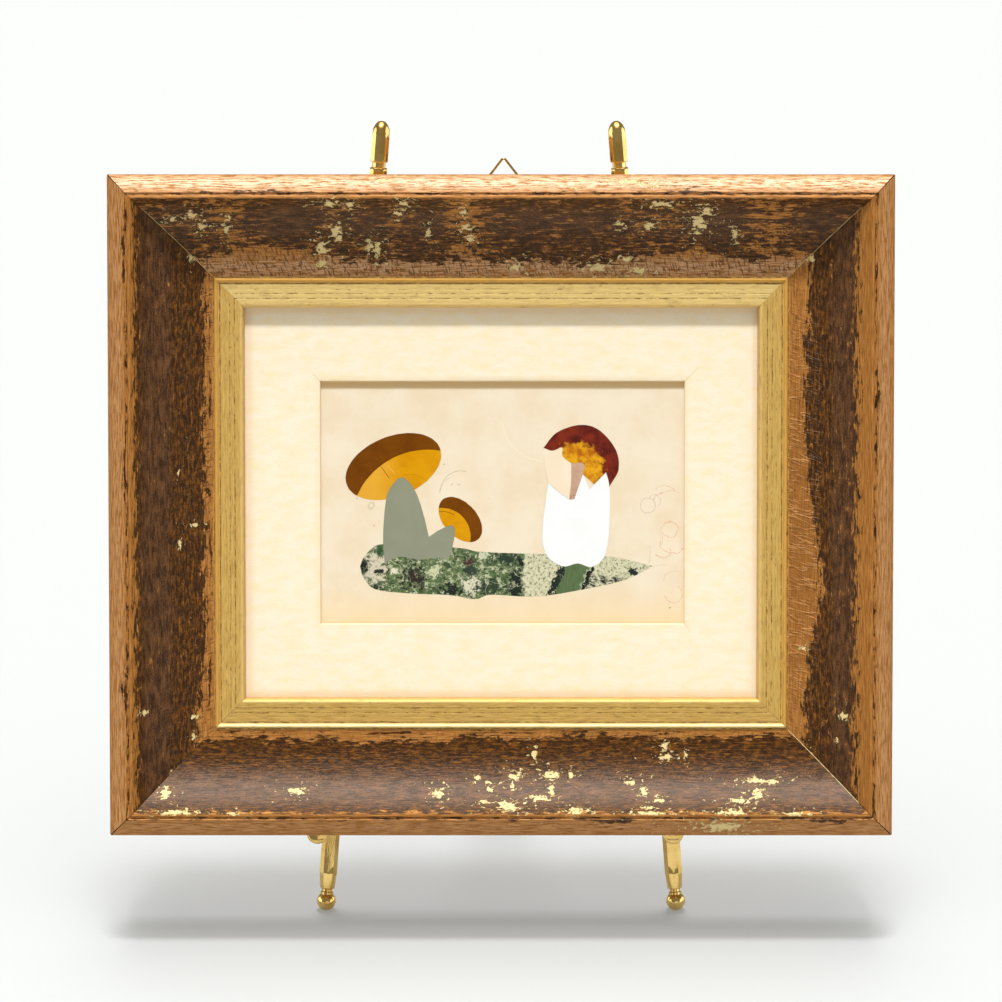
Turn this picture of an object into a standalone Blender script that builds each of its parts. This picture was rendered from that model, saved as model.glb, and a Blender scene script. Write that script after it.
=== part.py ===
"""Framed panel of inlaid stone, leaning back on a folding brass easel.

Metres, with +Z up. The panel faces -Y. The origin is on the surface that the
feet stand on, in the middle of the whole object.
"""
import math

import bmesh
import bpy
from mathutils import Vector

# Clearances
GAP = 0.0003
FIT = 0.0009

# Window in the liner, which the liner and the frame are made round
WINDOW_WIDTH = 0.1498
WINDOW_HEIGHT = 0.1002

# Moulding of the frame, named from its outer edge inwards
BAND_WIDTH = 0.0071
BAND_DROP = 0.0045
BAND_SWELL = 0.0003
GROOVE_WIDTH = 0.0014
GROOVE_DEPTH = 0.0011
RIDGE_WIDTH = 0.0010
RIDGE_RISE = 0.0004
COVE_WIDTH = 0.0334
COVE_DROP = 0.0168
BEAD_WIDTH = 0.0020
BEAD_RISE = 0.0009
REEDED_WIDTH = 0.0090
REEDED_DROP = 0.0008
REED_COUNT = 4
REED_RISE = 0.0004
LIP_WIDTH = 0.0016
LIP_DROP = 0.0012
LIP_EDGE = 0.0015
REBATE_WIDTH = 0.0060
SIDE_INSET = 0.0045
SIDE_STEP = 0.0065
SIDE_EDGE = 0.0008

# Liner, stone and backing board
LINER_SHOWN = 0.0306
LINER_LIP = 0.0012
LINER_BEVEL = 0.0006
LINER_SHIFT = 0.0006
SLAB_LAP = 0.0050
SLAB_THICKNESS = 0.0065
BOARD_THICKNESS = 0.0025
BOARD_RECESS = 0.0034

# Inlaid picture, fitted inside the liner's window
PICTURE_SIDE_MARGIN = 0.0146
PICTURE_TOP_MARGIN = 0.0139
PICTURE_ASPECT = 1.665
INLAY_DEPTH = 0.0025

# Hanger on the back of the top rail
STRAP_WIDTH = 0.0120
STRAP_LENGTH = 0.0215
STRAP_THICKNESS = 0.0008
RING_WIRE = 0.0010
RING_WIDTH = 0.0190
RING_APEX = math.radians(76.0)
RING_CORNER = 0.0010
RING_ABOVE_FRAME = 0.0053
HANGER_SHIFT = 0.0011
SCREW_HEAD_DIAMETER = 0.0070
SCREW_HEAD_HEIGHT = 0.0020
SCREW_DIAMETER = 0.0030
SCREW_LENGTH = 0.0120
SCREW_ABOVE_STRAP_END = 0.0060

# Easel
LEAN = math.radians(15.0)
LEG_WIDTH = 0.0072
LEG_CHAMFER = 0.0016
LEG_RISE = 0.3253
FOOT_SPREAD = 0.1457
LEFT_TIP = 0.0491
RIGHT_TIP = 0.0474
FOOT_DIAMETER = 0.0080
FOOT_FLAT = 0.0003
COLLAR_DIAMETER = 0.0054
NECK_DIAMETER = 0.0044
NECK_LENGTH = 0.0022
ANKLE_WIDTH = 0.0062
ANKLE_LENGTH = 0.0070
FINIAL_LENGTH = 0.0172
FINIAL_NECK_WIDTH = 0.0058
FINIAL_NECK_LENGTH = 0.0020
DOME_LENGTH = 0.0075
FRAME_RISE = 0.0323
BAR_HEIGHT = 0.0100
BAR_THICKNESS = 0.0036
UPPER_BAR_RISE = 0.2325
LOWER_BAR_RISE = 0.0450
REAR_REACH = 0.1400
PIVOT_STANDOFF = 0.0064
PIVOT_DROP = 0.0010
EYE_RADIUS = 0.0042
EYE_WIDTH = 0.0050
TONGUE_LENGTH = 0.0150
HEEL_HEIGHT = 0.0044
HEEL_LIFT = 0.0004
LUG_THICKNESS = 0.0024
PIN_DIAMETER = 0.0030
PIN_HEAD_DIAMETER = 0.0050
PIN_HEAD_LENGTH = 0.0012
HOOK_HEAD_DIAMETER = 0.0090
HOOK_HEAD_LENGTH = 0.0050
HOOK_EDGE = 0.0010
HOOK_NECK_DIAMETER = 0.0056
HOOK_ROOT_DIAMETER = 0.0070
HOOK_ROOT_LENGTH = 0.0020
HOOK_SETBACK = 0.0015
HOOK_LEFT_OFFSET = 0.0053
HOOK_RIGHT_OFFSET = 0.0007

# Fineness of the faceted curves
CURVE_STEPS = 4
COVE_STEPS = 12
BEAD_STEPS = 4
REED_STEPS = 4
ROUND_SIDES = 16
WIRE_SIDES = 6
CORNER_STEPS = 4
OVAL_SIDES = 48
BALL_RINGS = 6
DOME_RINGS = 5
CUTTER_MARGIN = 0.0010
MITRE_LIMIT = 0.4
SHARP_ANGLE = math.radians(40.0)

# Sizes that follow from the ones above
BAND_EDGE_DEPTH = RIDGE_RISE + BAND_DROP
GROOVE_START = BAND_WIDTH
RIDGE_START = GROOVE_START + GROOVE_WIDTH
COVE_START = RIDGE_START + RIDGE_WIDTH
BEAD_START = COVE_START + COVE_WIDTH
REEDED_START = BEAD_START + BEAD_WIDTH
LIP_START = REEDED_START + REEDED_WIDTH
RAIL_WIDTH = LIP_START + LIP_WIDTH
REEDED_END_DEPTH = COVE_DROP + REEDED_DROP
REBATE_DEPTH = REEDED_END_DEPTH + LIP_DROP + LIP_EDGE
LINER_FRONT = REBATE_DEPTH + GAP
SLAB_FRONT = LINER_FRONT + LINER_LIP + GAP
SLAB_BACK = SLAB_FRONT + SLAB_THICKNESS
BOARD_FRONT = SLAB_BACK + GAP
FRAME_DEPTH = BOARD_FRONT + BOARD_THICKNESS + BOARD_RECESS
FRAME_WIDTH = WINDOW_WIDTH + 2 * (RAIL_WIDTH + LINER_SHOWN)
FRAME_HEIGHT = WINDOW_HEIGHT + 2 * (RAIL_WIDTH + LINER_SHOWN)
OPENING_WIDTH = FRAME_WIDTH - 2 * (RAIL_WIDTH - REBATE_WIDTH)
OPENING_HEIGHT = FRAME_HEIGHT - 2 * (RAIL_WIDTH - REBATE_WIDTH)
LINER_WIDTH = LINER_SHOWN + REBATE_WIDTH - FIT
PICTURE_ACROSS = WINDOW_WIDTH - 2 * PICTURE_SIDE_MARGIN
PICTURE_UP = (WINDOW_HEIGHT - 2 * PICTURE_TOP_MARGIN) * PICTURE_ASPECT
MITRE_SETBACK = GAP / math.sqrt(2)
FOOT_HEIGHT = FOOT_DIAMETER / 2 - FOOT_FLAT
LEFT_TILT = math.atan((FOOT_SPREAD / 2 - LEFT_TIP) / LEG_RISE)
RIGHT_TILT = math.atan((FOOT_SPREAD / 2 - RIGHT_TIP) / LEG_RISE)
LOOP_INNER = RING_WIRE / 2 + GAP
LOOP_OUTER = LOOP_INNER + STRAP_THICKNESS
RING_PEAK = RING_WIDTH / 2 / math.tan(RING_APEX / 2)
RING_HEIGHT = RING_PEAK - RING_CORNER * (1 / math.sin(RING_APEX / 2) - 1)
RING_AXIS_RISE = FRAME_HEIGHT / 2 + RING_ABOVE_FRAME - RING_WIRE / 2 - RING_HEIGHT
PIVOT_RISE = UPPER_BAR_RISE - PIVOT_DROP
PIVOT_BACK = BAR_THICKNESS / 2 + PIVOT_STANDOFF
HOOK_RISE = FRAME_RISE + SIDE_INSET - GAP - HOOK_HEAD_DIAMETER / 2
HOOK_LENGTH = FRAME_DEPTH - (BAND_EDGE_DEPTH + SIDE_STEP + HOOK_SETBACK)

SIDES = {"top": (0, 1), "bottom": (0, -1), "left": (-1, 0), "right": (1, 0)}


def clear_scene():
    """Start from a scene with nothing in it."""
    for item in list(bpy.data.objects):
        bpy.data.objects.remove(item, do_unlink=True)


def material(name, colour, roughness, metallic=0.0):
    """A Principled material in one plain colour."""
    finish = bpy.data.materials.new(name)
    finish.use_nodes = True
    shader = finish.node_tree.nodes["Principled BSDF"]
    shader.inputs["Base Color"].default_value = (*colour, 1.0)
    shader.inputs["Roughness"].default_value = roughness
    shader.inputs["Metallic"].default_value = metallic
    return finish


def guide(name, parent=None, location=(0, 0, 0), turn=(0, 0, 0)):
    """An empty that places what is parented to it."""
    empty = bpy.data.objects.new(name, None)
    bpy.context.collection.objects.link(empty)
    empty.parent = parent
    empty.location = location
    empty.rotation_euler = turn
    return empty


def solid(name, vertices, faces, finish, parent):
    """An object with a closed mesh whose faces point outwards."""
    mesh = bpy.data.meshes.new(name)
    mesh.from_pydata([tuple(vertex) for vertex in vertices], [], faces)
    shape = bmesh.new()
    shape.from_mesh(mesh)
    bmesh.ops.recalc_face_normals(shape, faces=shape.faces)
    shape.to_mesh(mesh)
    shape.free()
    piece = bpy.data.objects.new(name, mesh)
    bpy.context.collection.objects.link(piece)
    piece.parent = parent
    if finish:
        mesh.materials.append(finish)
    return piece


def smooth(piece):
    """Shade a round piece smooth, keeping its true edges sharp."""
    piece.data.shade_smooth()
    piece.data.set_sharp_from_angle(angle=SHARP_ANGLE)
    return piece


def lofted(name, rings, finish, parent):
    """A closed solid through rings that all have the same number of points."""
    count = len(rings[0])
    vertices = [point for ring in rings for point in ring]
    faces = [list(range(count)), list(range(len(vertices) - count, len(vertices)))]
    for level in range(len(rings) - 1):
        start = level * count
        for side in range(count):
            after = (side + 1) % count
            faces.append([start + side, start + after, start + count + after, start + count + side])
    return solid(name, vertices, faces, finish, parent)


def extruded(name, outline, start, end, place, finish, parent):
    """An outline run from start to end, where place turns (a, b, along) into a point."""
    rings = [[place(a, b, along) for a, b in outline] for along in (start, end)]
    return lofted(name, rings, finish, parent)


def combine(piece, other, operation):
    """Add a solid to a piece or take it away, and keep it only as a guide."""
    other.hide_render = True
    other.display_type = "WIRE"
    change = piece.modifiers.new(other.name, "BOOLEAN")
    change.object = other
    change.operation = operation
    change.solver = "EXACT"


def swell(start, end, rise, steps):
    """Points after start up to end, standing forwards by rise in the middle."""
    points = []
    for step in range(1, steps + 1):
        share = step / steps
        inwards = start[0] + (end[0] - start[0]) * share
        depth = start[1] + (end[1] - start[1]) * share - rise * math.sin(math.pi * share)
        points.append((inwards, depth))
    return points


def cove():
    """The hollow of the moulding, an arc that ends level at the bead."""
    radius = (COVE_WIDTH ** 2 + COVE_DROP ** 2) / (2 * COVE_DROP)
    first = math.asin(COVE_WIDTH / radius)
    points = []
    for step in range(COVE_STEPS + 1):
        angle = first * (1 - step / COVE_STEPS)
        inwards = BEAD_START - radius * math.sin(angle)
        points.append((inwards, COVE_DROP - radius * (1 - math.cos(angle))))
    return points


def rail_outline():
    """Cross-section of a rail as (in from the outer edge, back from the ridge)."""
    outline = [(0, BAND_EDGE_DEPTH)]
    outline += swell(outline[-1], (GROOVE_START, RIDGE_RISE), BAND_SWELL, BEAD_STEPS)
    outline += swell(outline[-1], (RIDGE_START, RIDGE_RISE), -GROOVE_DEPTH, BEAD_STEPS)
    outline += [(RIDGE_START, 0)]
    outline += cove()
    outline += swell(outline[-1], (REEDED_START, COVE_DROP), BEAD_RISE, BEAD_STEPS)
    for reed in range(1, REED_COUNT + 1):
        share = reed / REED_COUNT
        end = (REEDED_START + REEDED_WIDTH * share, COVE_DROP + REEDED_DROP * share)
        outline += swell(outline[-1], end, REED_RISE, REED_STEPS)
    outline += [(RAIL_WIDTH, REEDED_END_DEPTH + LIP_DROP),
                (RAIL_WIDTH, REBATE_DEPTH),
                (RAIL_WIDTH - REBATE_WIDTH, REBATE_DEPTH),
                (RAIL_WIDTH - REBATE_WIDTH, FRAME_DEPTH),
                (SIDE_INSET, FRAME_DEPTH),
                (SIDE_INSET, BAND_EDGE_DEPTH + SIDE_STEP),
                (SIDE_INSET / 2, BAND_EDGE_DEPTH + SIDE_STEP / 2),
                (0, BAND_EDGE_DEPTH + SIDE_EDGE)]
    return outline


def liner_outline():
    """Cross-section of a liner strip, measured in from its own outer edge."""
    back = LINER_WIDTH - SLAB_LAP - FIT
    return [(0, LINER_FRONT),
            (LINER_WIDTH - LINER_BEVEL, LINER_FRONT),
            (LINER_WIDTH, LINER_FRONT + LINER_BEVEL),
            (LINER_WIDTH, LINER_FRONT + LINER_LIP),
            (back, LINER_FRONT + LINER_LIP),
            (back, SLAB_BACK),
            (0, SLAB_BACK)]


def mitred(name, outline, width, height, finish, parent):
    """Four strips with mitred ends round a rectangle of the given outer size."""
    strips = {}
    for side, (out_x, out_z) in SIDES.items():
        reach = (width if out_x else height) / 2
        run = (height if out_x else width) / 2

        def place(inwards, depth, end):
            along = end * (run - inwards - MITRE_SETBACK)
            across = reach - inwards
            return (out_x * across + out_z * along, depth - FRAME_DEPTH, out_z * across - out_x * along)

        strips[side] = extruded(f"{name}_{side}", outline, -1, 1, place, finish, parent)
    return strips


def plate(name, width, height, front, thickness, finish, parent):
    """A flat plate in the middle of the frame, its front at the given depth."""
    corners = [(-width / 2, -height / 2), (width / 2, -height / 2),
               (width / 2, height / 2), (-width / 2, height / 2)]
    return extruded(name, corners, front, front + thickness, from_front, finish, parent)


def from_front(across, up, depth):
    """A point of the framed panel, measured back from the ridge."""
    return (across, depth - FRAME_DEPTH, up)


def curve_through(*points):
    """A smooth open curve through the points."""
    first = Vector(points[0]) * 2 - Vector(points[1])
    last = Vector(points[-1]) * 2 - Vector(points[-2])
    stops = [first, *[Vector(point) for point in points], last]
    curve = [tuple(points[0])]
    for before, start, end, after in zip(stops, stops[1:], stops[2:], stops[3:]):
        for step in range(1, CURVE_STEPS + 1):
            t = step / CURVE_STEPS
            point = (start * 2 + (end - before) * t
                     + (before * 2 - start * 5 + end * 4 - after) * t ** 2
                     + (start * 3 - before - end * 3 + after) * t ** 3) / 2
            curve.append(tuple(point))
    return curve


def oval(middle, half_long, half_short, tilt, sides=OVAL_SIDES):
    """A tilted oval."""
    points = []
    for side in range(sides):
        angle = 2 * math.pi * side / sides
        along = half_long * math.cos(angle)
        across = half_short * math.sin(angle)
        points.append((middle[0] + along * math.cos(tilt) - across * math.sin(tilt),
                       middle[1] + along * math.sin(tilt) + across * math.cos(tilt)))
    return points


def closed(*stretches):
    """One outline from stretches that meet end to end."""
    outline = []
    for stretch in stretches:
        for point in stretch:
            if not outline or math.dist(point, outline[-1]) > GAP:
                outline.append(point)
    if math.dist(outline[0], outline[-1]) <= GAP:
        outline.pop()
    return outline


def grown(outline, margin):
    """The outline moved outwards by the margin."""
    area = sum(a[0] * b[1] - b[0] * a[1] for a, b in zip(outline, outline[1:] + outline[:1]))
    outwards = math.copysign(1, area)
    moved = []
    for before, here, after in zip(outline[-1:] + outline[:-1], outline, outline[1:] + outline[:1]):
        first = (Vector(here) - Vector(before)).normalized()
        second = (Vector(after) - Vector(here)).normalized()
        normals = [Vector((edge.y, -edge.x)) * outwards for edge in (first, second)]
        middle = (normals[0] + normals[1]).normalized()
        stretch = max(middle.dot(normals[0]), MITRE_LIMIT)
        moved.append(tuple(Vector(here) + middle * margin / stretch))
    return moved


def scaled(outline):
    """Shares of the picture's length made into metres, each way from the window's own size."""
    return [(x * PICTURE_ACROSS, z * PICTURE_UP) for x, z in outline]


def picture_outlines():
    """Outlines of the inlaid stones as shares of the picture's length."""
    tall_stem = curve_through((-0.403, -0.209), (-0.408, -0.134), (-0.403, -0.030), (-0.388, 0.042),
                              (-0.345, 0.086), (-0.304, 0.048), (-0.275, -0.025), (-0.252, -0.119))
    short_stem = curve_through((-0.252, -0.119), (-0.212, -0.093), (-0.176, -0.080),
                               (-0.163, -0.096), (-0.171, -0.152), (-0.185, -0.201))
    stem_foot = curve_through((-0.185, -0.201), (-0.213, -0.191), (-0.245, -0.193), (-0.285, -0.197),
                              (-0.324, -0.190), (-0.362, -0.189), (-0.403, -0.209))
    ground_top = curve_through((-0.487, -0.221), (-0.475, -0.190), (-0.444, -0.157), (-0.409, -0.144),
                               (-0.283, -0.146), (-0.139, -0.158), (-0.077, -0.170), (0.094, -0.177),
                               (0.249, -0.180), (0.378, -0.188), (0.515, -0.219))
    ground_foot = curve_through((0.515, -0.219), (0.437, -0.260), (0.343, -0.286), (0.197, -0.314),
                                (0.094, -0.324), (-0.039, -0.318), (-0.094, -0.333), (-0.180, -0.319),
                                (-0.317, -0.313), (-0.434, -0.299), (-0.475, -0.259), (-0.487, -0.221))
    cup_body = curve_through((0.157, 0.066), (0.148, 0.003), (0.138, -0.082), (0.139, -0.146),
                             (0.160, -0.192), (0.208, -0.220), (0.258, -0.210), (0.301, -0.222),
                             (0.338, -0.202), (0.359, -0.150), (0.367, -0.048), (0.366, 0.052),
                             (0.354, 0.103))
    tooth_tip = (0.275, 0.097)
    stalk_foot = [(0.229, 0.009), (0.246, 0.011)]
    cup_teeth = [(0.354, 0.103), (0.298, 0.045), tooth_tip, (0.258, 0.046), *reversed(stalk_foot),
                 (0.191, 0.036), (0.157, 0.066)]
    veil_side = curve_through((0.140, 0.187), (0.145, 0.127), (0.157, 0.066))
    veil_inner = curve_through(stalk_foot[0], (0.235, 0.072), (0.236, 0.133))
    veil_top = curve_through((0.236, 0.133), (0.206, 0.158), (0.203, 0.188), (0.171, 0.177),
                             (0.140, 0.187))
    cap_edge = curve_through((0.140, 0.187), (0.188, 0.241), (0.270, 0.266), (0.333, 0.246),
                             (0.387, 0.181), (0.397, 0.114), (0.371, 0.063))
    stalk_side = curve_through((0.268, 0.040), tooth_tip, (0.281, 0.125), (0.268, 0.136), (0.236, 0.133))
    return {
        "large_cap": oval((-0.373, 0.123), 0.171, 0.103, math.radians(22)),
        "large_gills": oval((-0.254, -0.085), 0.266, 0.266, 0, 2 * OVAL_SIDES),
        "twin_stem": tall_stem + short_stem + stem_foot,
        "small_cap": oval((-0.144, -0.059), 0.091, 0.057, math.radians(-48)),
        "small_gills": oval((-0.208, -0.118), 0.099, 0.099, 0),
        "ground": ground_top + ground_foot,
        "red_cap": cap_edge + [(0.350, 0.030), tooth_tip, (0.190, 0.090)],
        "white_cup": cup_body + cup_teeth,
        "pale_veil": veil_side + veil_inner + veil_top,
        "young_stalk": list(reversed(veil_inner)) + [stalk_foot[1]] + stalk_side,
    }


def make_frame(parent):
    """Four mitred rails with the whole moulding on each."""
    wood = material("lacquered_wood", (0.20, 0.10, 0.05), 0.45)
    return mitred("frame", rail_outline(), FRAME_WIDTH, FRAME_HEIGHT, wood, parent)


def make_liner(parent):
    """Four mitred strips dropped into the frame's rebate."""
    cream = material("cream_liner", (0.90, 0.83, 0.62), 0.75)
    return mitred("liner", liner_outline(), OPENING_WIDTH - 2 * FIT, OPENING_HEIGHT - 2 * FIT,
                  cream, parent)


def make_picture(parent):
    """The slab with its pockets, and the stones that lie flush in them."""
    slab = plate("stone_slab", WINDOW_WIDTH + 2 * SLAB_LAP, WINDOW_HEIGHT + 2 * SLAB_LAP,
                 SLAB_FRONT, SLAB_THICKNESS, material("beige_stone", (0.80, 0.66, 0.44), 0.4), parent)
    colours = {
        "large_cap": (0.16, 0.05, 0.01), "large_gills": (0.70, 0.36, 0.02),
        "twin_stem": (0.28, 0.29, 0.20), "small_cap": (0.18, 0.06, 0.01),
        "small_gills": (0.66, 0.31, 0.02), "ground": (0.10, 0.17, 0.08),
        "red_cap": (0.12, 0.02, 0.01), "white_cup": (0.92, 0.92, 0.90),
        "pale_veil": (0.84, 0.72, 0.55), "young_stalk": (0.60, 0.38, 0.24),
    }
    shapes = {name: closed(scaled(outline)) for name, outline in picture_outlines().items()}
    stones = {}
    cutters = {}
    for name, outline in shapes.items():
        finish = material(name, colours[name], 0.3)
        stones[name] = extruded(name, outline, SLAB_FRONT, SLAB_FRONT + INLAY_DEPTH,
                                from_front, finish, parent)
        cutters[name] = extruded(f"{name}_pocket", grown(outline, GAP), SLAB_FRONT - CUTTER_MARGIN,
                                 SLAB_FRONT + INLAY_DEPTH + GAP, from_front, None, parent)
    for cap, gills in (("large_cap", "large_gills"), ("small_cap", "small_gills")):
        head = extruded(f"{cap}_head", shapes[cap], SLAB_FRONT - CUTTER_MARGIN,
                        SLAB_FRONT + INLAY_DEPTH + CUTTER_MARGIN, from_front, None, parent)
        combine(stones[cap], cutters[gills], "DIFFERENCE")
        combine(stones[gills], head, "INTERSECT")
        combine(stones[gills], cutters["twin_stem"], "DIFFERENCE")
        combine(slab, cutters[cap], "DIFFERENCE")
    combine(stones["ground"], cutters["twin_stem"], "DIFFERENCE")
    combine(stones["ground"], cutters["white_cup"], "DIFFERENCE")
    for name in ("white_cup", "pale_veil", "young_stalk"):
        combine(stones["red_cap"], cutters[name], "DIFFERENCE")
    combine(stones["pale_veil"], cutters["white_cup"], "DIFFERENCE")
    combine(stones["pale_veil"], cutters["young_stalk"], "DIFFERENCE")
    combine(stones["young_stalk"], cutters["white_cup"], "DIFFERENCE")
    for name in ("twin_stem", "ground", "red_cap", "white_cup", "pale_veil", "young_stalk"):
        combine(slab, cutters[name], "DIFFERENCE")


def make_board(parent):
    """Backing board, set a little into the back of the frame."""
    plate("backing_board", OPENING_WIDTH - 2 * FIT, OPENING_HEIGHT - 2 * FIT, BOARD_FRONT,
          BOARD_THICKNESS, material("board", (0.35, 0.24, 0.13), 0.8), parent)


def ring_path():
    """Middle line of the hanging ring: a triangle with round corners, its base on the axis."""
    corners = [Vector((-RING_WIDTH / 2, 0)), Vector((RING_WIDTH / 2, 0)), Vector((0, RING_PEAK))]
    path = []
    for before, corner, after in zip(corners[-1:] + corners, corners, corners[1:] + corners):
        arriving = (corner - before).normalized()
        leaving = (after - corner).normalized()
        bend = math.acos(arriving.dot(leaving))
        outwards = Vector((arriving.y, -arriving.x))
        middle = corner - arriving * RING_CORNER * math.tan(bend / 2) - outwards * RING_CORNER
        first = math.atan2(outwards.y, outwards.x)
        for step in range(CORNER_STEPS + 1):
            angle = first + bend * step / CORNER_STEPS
            path.append(((middle.x + RING_CORNER * math.cos(angle),
                          middle.y + RING_CORNER * math.sin(angle)), angle))
    return path


def make_hanger(parent, top_rail):
    """Folded strap with its screw, and the wire ring that swings in the fold."""
    brass = material("hanger_brass", (0.60, 0.42, 0.16), 0.35, 1.0)
    back = GAP + LOOP_OUTER
    axis = guide("ring_axis", parent, (HANGER_SHIFT, back, RING_AXIS_RISE))
    half = STRAP_WIDTH / 2
    leaf_back = 2 * STRAP_THICKNESS - LOOP_OUTER
    last = -math.acos(leaf_back / LOOP_OUTER)
    turns = [math.pi + (last - math.pi) * step / ROUND_SIDES for step in range(ROUND_SIDES + 1)]
    outline = [(-LOOP_OUTER, -STRAP_LENGTH)]
    outline += [(LOOP_OUTER * math.cos(turn), LOOP_OUTER * math.sin(turn)) for turn in turns]
    outline += [(leaf_back, -STRAP_LENGTH)]
    strap = extruded("hanger_strap", outline, -half, half, across_axis, brass, axis)
    hole = oval((0, 0), LOOP_INNER, LOOP_INNER, 0, ROUND_SIDES)
    bore = extruded("strap_bore", hole, -half - CUTTER_MARGIN, half + CUTTER_MARGIN, across_axis,
                    None, axis)
    combine(strap, bore, "DIFFERENCE")

    screw_rise = RING_AXIS_RISE - STRAP_LENGTH + SCREW_ABOVE_STRAP_END
    screw_place = guide("screw_axis", parent,
                        (HANGER_SHIFT, GAP + 2 * STRAP_THICKNESS + GAP, screw_rise))
    head = SCREW_HEAD_DIAMETER / 2
    shank = SCREW_DIAMETER / 2
    profile = [(-SCREW_LENGTH, shank / 2), (-SCREW_LENGTH + shank, shank), (0, shank), (0, head)]
    for ring in range(1, DOME_RINGS):
        angle = math.pi / 2 * ring / DOME_RINGS
        profile.append((SCREW_HEAD_HEIGHT * math.sin(angle), head * math.cos(angle)))
    turned("hanger_screw", profile, brass, screw_place)
    hole_profile = [(-SCREW_LENGTH - GAP, shank + GAP), (CUTTER_MARGIN, shank + GAP)]
    screw_hole = turned("screw_hole", hole_profile, None, screw_place)
    combine(strap, screw_hole, "DIFFERENCE")
    combine(top_rail, screw_hole, "DIFFERENCE")

    rings = []
    for (x, z), angle in ring_path():
        section = []
        for side in range(WIRE_SIDES):
            turn = 2 * math.pi * side / WIRE_SIDES
            out = RING_WIRE / 2 * math.cos(turn)
            section.append((x + out * math.cos(angle), RING_WIRE / 2 * math.sin(turn),
                            z + out * math.sin(angle)))
        rings.append(section)
    looped("hanger_ring", rings, material("ring_brass", (0.60, 0.42, 0.16), 0.3, 1.0), axis)


def looped(name, rings, finish, parent):
    """A closed tube through rings, the last joined to the first."""
    count = len(rings[0])
    vertices = [point for ring in rings for point in ring]
    faces = []
    for level in range(len(rings)):
        start = level * count
        onwards = (level + 1) % len(rings) * count
        for side in range(count):
            after = (side + 1) % count
            faces.append([start + side, start + after, onwards + after, onwards + side])
    return smooth(solid(name, vertices, faces, finish, parent))


def turned(name, profile, finish, parent):
    """A solid turned about the local Y axis, from pairs of (along, radius)."""
    rings = []
    for along, radius in profile:
        rings.append([(radius * math.cos(2 * math.pi * side / ROUND_SIDES), along,
                       radius * math.sin(2 * math.pi * side / ROUND_SIDES))
                      for side in range(ROUND_SIDES)])
    return smooth(lofted(name, rings, finish, parent))


def section(radius, rise, bar_width=None):
    """A level section of a leg: round, or cut to the flats of the chamfered bar."""
    half = LEG_WIDTH / 2
    corner = math.atan2(half - LEG_CHAMFER, half)
    angles = [quarter * math.pi / 2 + turn for quarter in range(4)
              for turn in (0, corner, math.pi / 2 - corner)]
    points = []
    for angle in angles:
        reach = radius
        if bar_width:
            flat = max(abs(math.cos(angle)), abs(math.sin(angle)))
            reach = min(radius, bar_width / 2 / flat)
        points.append((reach * math.cos(angle), reach * math.sin(angle), rise))
    return points


def foot_sections():
    """Ball foot, collar and neck, from the ball's underside up."""
    radius = FOOT_DIAMETER / 2
    shoulder = math.acos(COLLAR_DIAMETER / FOOT_DIAMETER)
    rings = []
    for ring in range(BALL_RINGS + 1):
        angle = -math.pi / 2 + (math.pi / 2 + shoulder) * (ring + 0.5) / (BALL_RINGS + 0.5)
        rings.append(section(radius * math.cos(angle), radius * math.sin(angle)))
    collar_top = radius * math.sin(shoulder) + NECK_LENGTH / 2
    rings.append(section(COLLAR_DIAMETER / 2, collar_top))
    rings.append(section(NECK_DIAMETER / 2, collar_top))
    rings.append(section(NECK_DIAMETER / 2, collar_top + NECK_LENGTH / 2))
    return rings, collar_top + NECK_LENGTH / 2


def bar_sections(start, end):
    """The chamfered bar, narrower at its ankle."""
    corner = math.hypot(LEG_WIDTH / 2, LEG_WIDTH / 2 - LEG_CHAMFER)
    return [section(ANKLE_WIDTH / 2, start, ANKLE_WIDTH),
            section(corner, start + ANKLE_LENGTH, LEG_WIDTH),
            section(corner, end, LEG_WIDTH)]


def finial_sections(start, end):
    """Neck and domed finial of a front leg."""
    corner = math.hypot(LEG_WIDTH / 2, LEG_WIDTH / 2 - LEG_CHAMFER)
    neck_end = start + FINIAL_NECK_LENGTH
    dome_start = end - DOME_LENGTH
    rings = [section(FINIAL_NECK_WIDTH / 2, start), section(FINIAL_NECK_WIDTH / 2, neck_end),
             section(corner, neck_end, LEG_WIDTH), section(corner, dome_start, LEG_WIDTH)]
    for ring in range(1, DOME_RINGS):
        angle = math.pi / 2 * ring / DOME_RINGS
        rings.append(section(corner * math.cos(angle), dome_start + DOME_LENGTH * math.sin(angle),
                             LEG_WIDTH))
    return rings


def make_front_legs(parent, floor, brass):
    """Two front legs, each turned and filed from one bar."""
    for side, sign, tilt in (("left", -1, LEFT_TILT), ("right", 1, RIGHT_TILT)):
        foot = guide(f"foot_{side}", parent, (sign * FOOT_SPREAD / 2, 0, 0), (0, -sign * tilt, 0))
        length = LEG_RISE / math.cos(tilt)
        finial_start = length - FINIAL_LENGTH - FINIAL_NECK_LENGTH
        rings, ankle = foot_sections()
        rings += bar_sections(ankle, finial_start)
        rings += finial_sections(finial_start, length)
        leg = smooth(lofted(f"easel_leg_{side}", rings, brass, foot))
        combine(leg, floor, "DIFFERENCE")


def crossbar(name, rise, brass, parent):
    """A flat bar that ends against the inner faces of both front legs."""
    low = rise - BAR_HEIGHT / 2
    high = rise + BAR_HEIGHT / 2

    def half_length(height, tilt):
        clear = LEG_WIDTH / 2 / math.cos(tilt) + GAP
        return FOOT_SPREAD / 2 - math.tan(tilt) * height - clear

    outline = [(-half_length(low, LEFT_TILT), low), (half_length(low, RIGHT_TILT), low),
               (half_length(high, RIGHT_TILT), high), (-half_length(high, LEFT_TILT), high)]

    def place(across, up, depth):
        return (across, depth, up)

    return extruded(name, outline, -BAR_THICKNESS / 2, BAR_THICKNESS / 2, place, brass, parent)


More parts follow.
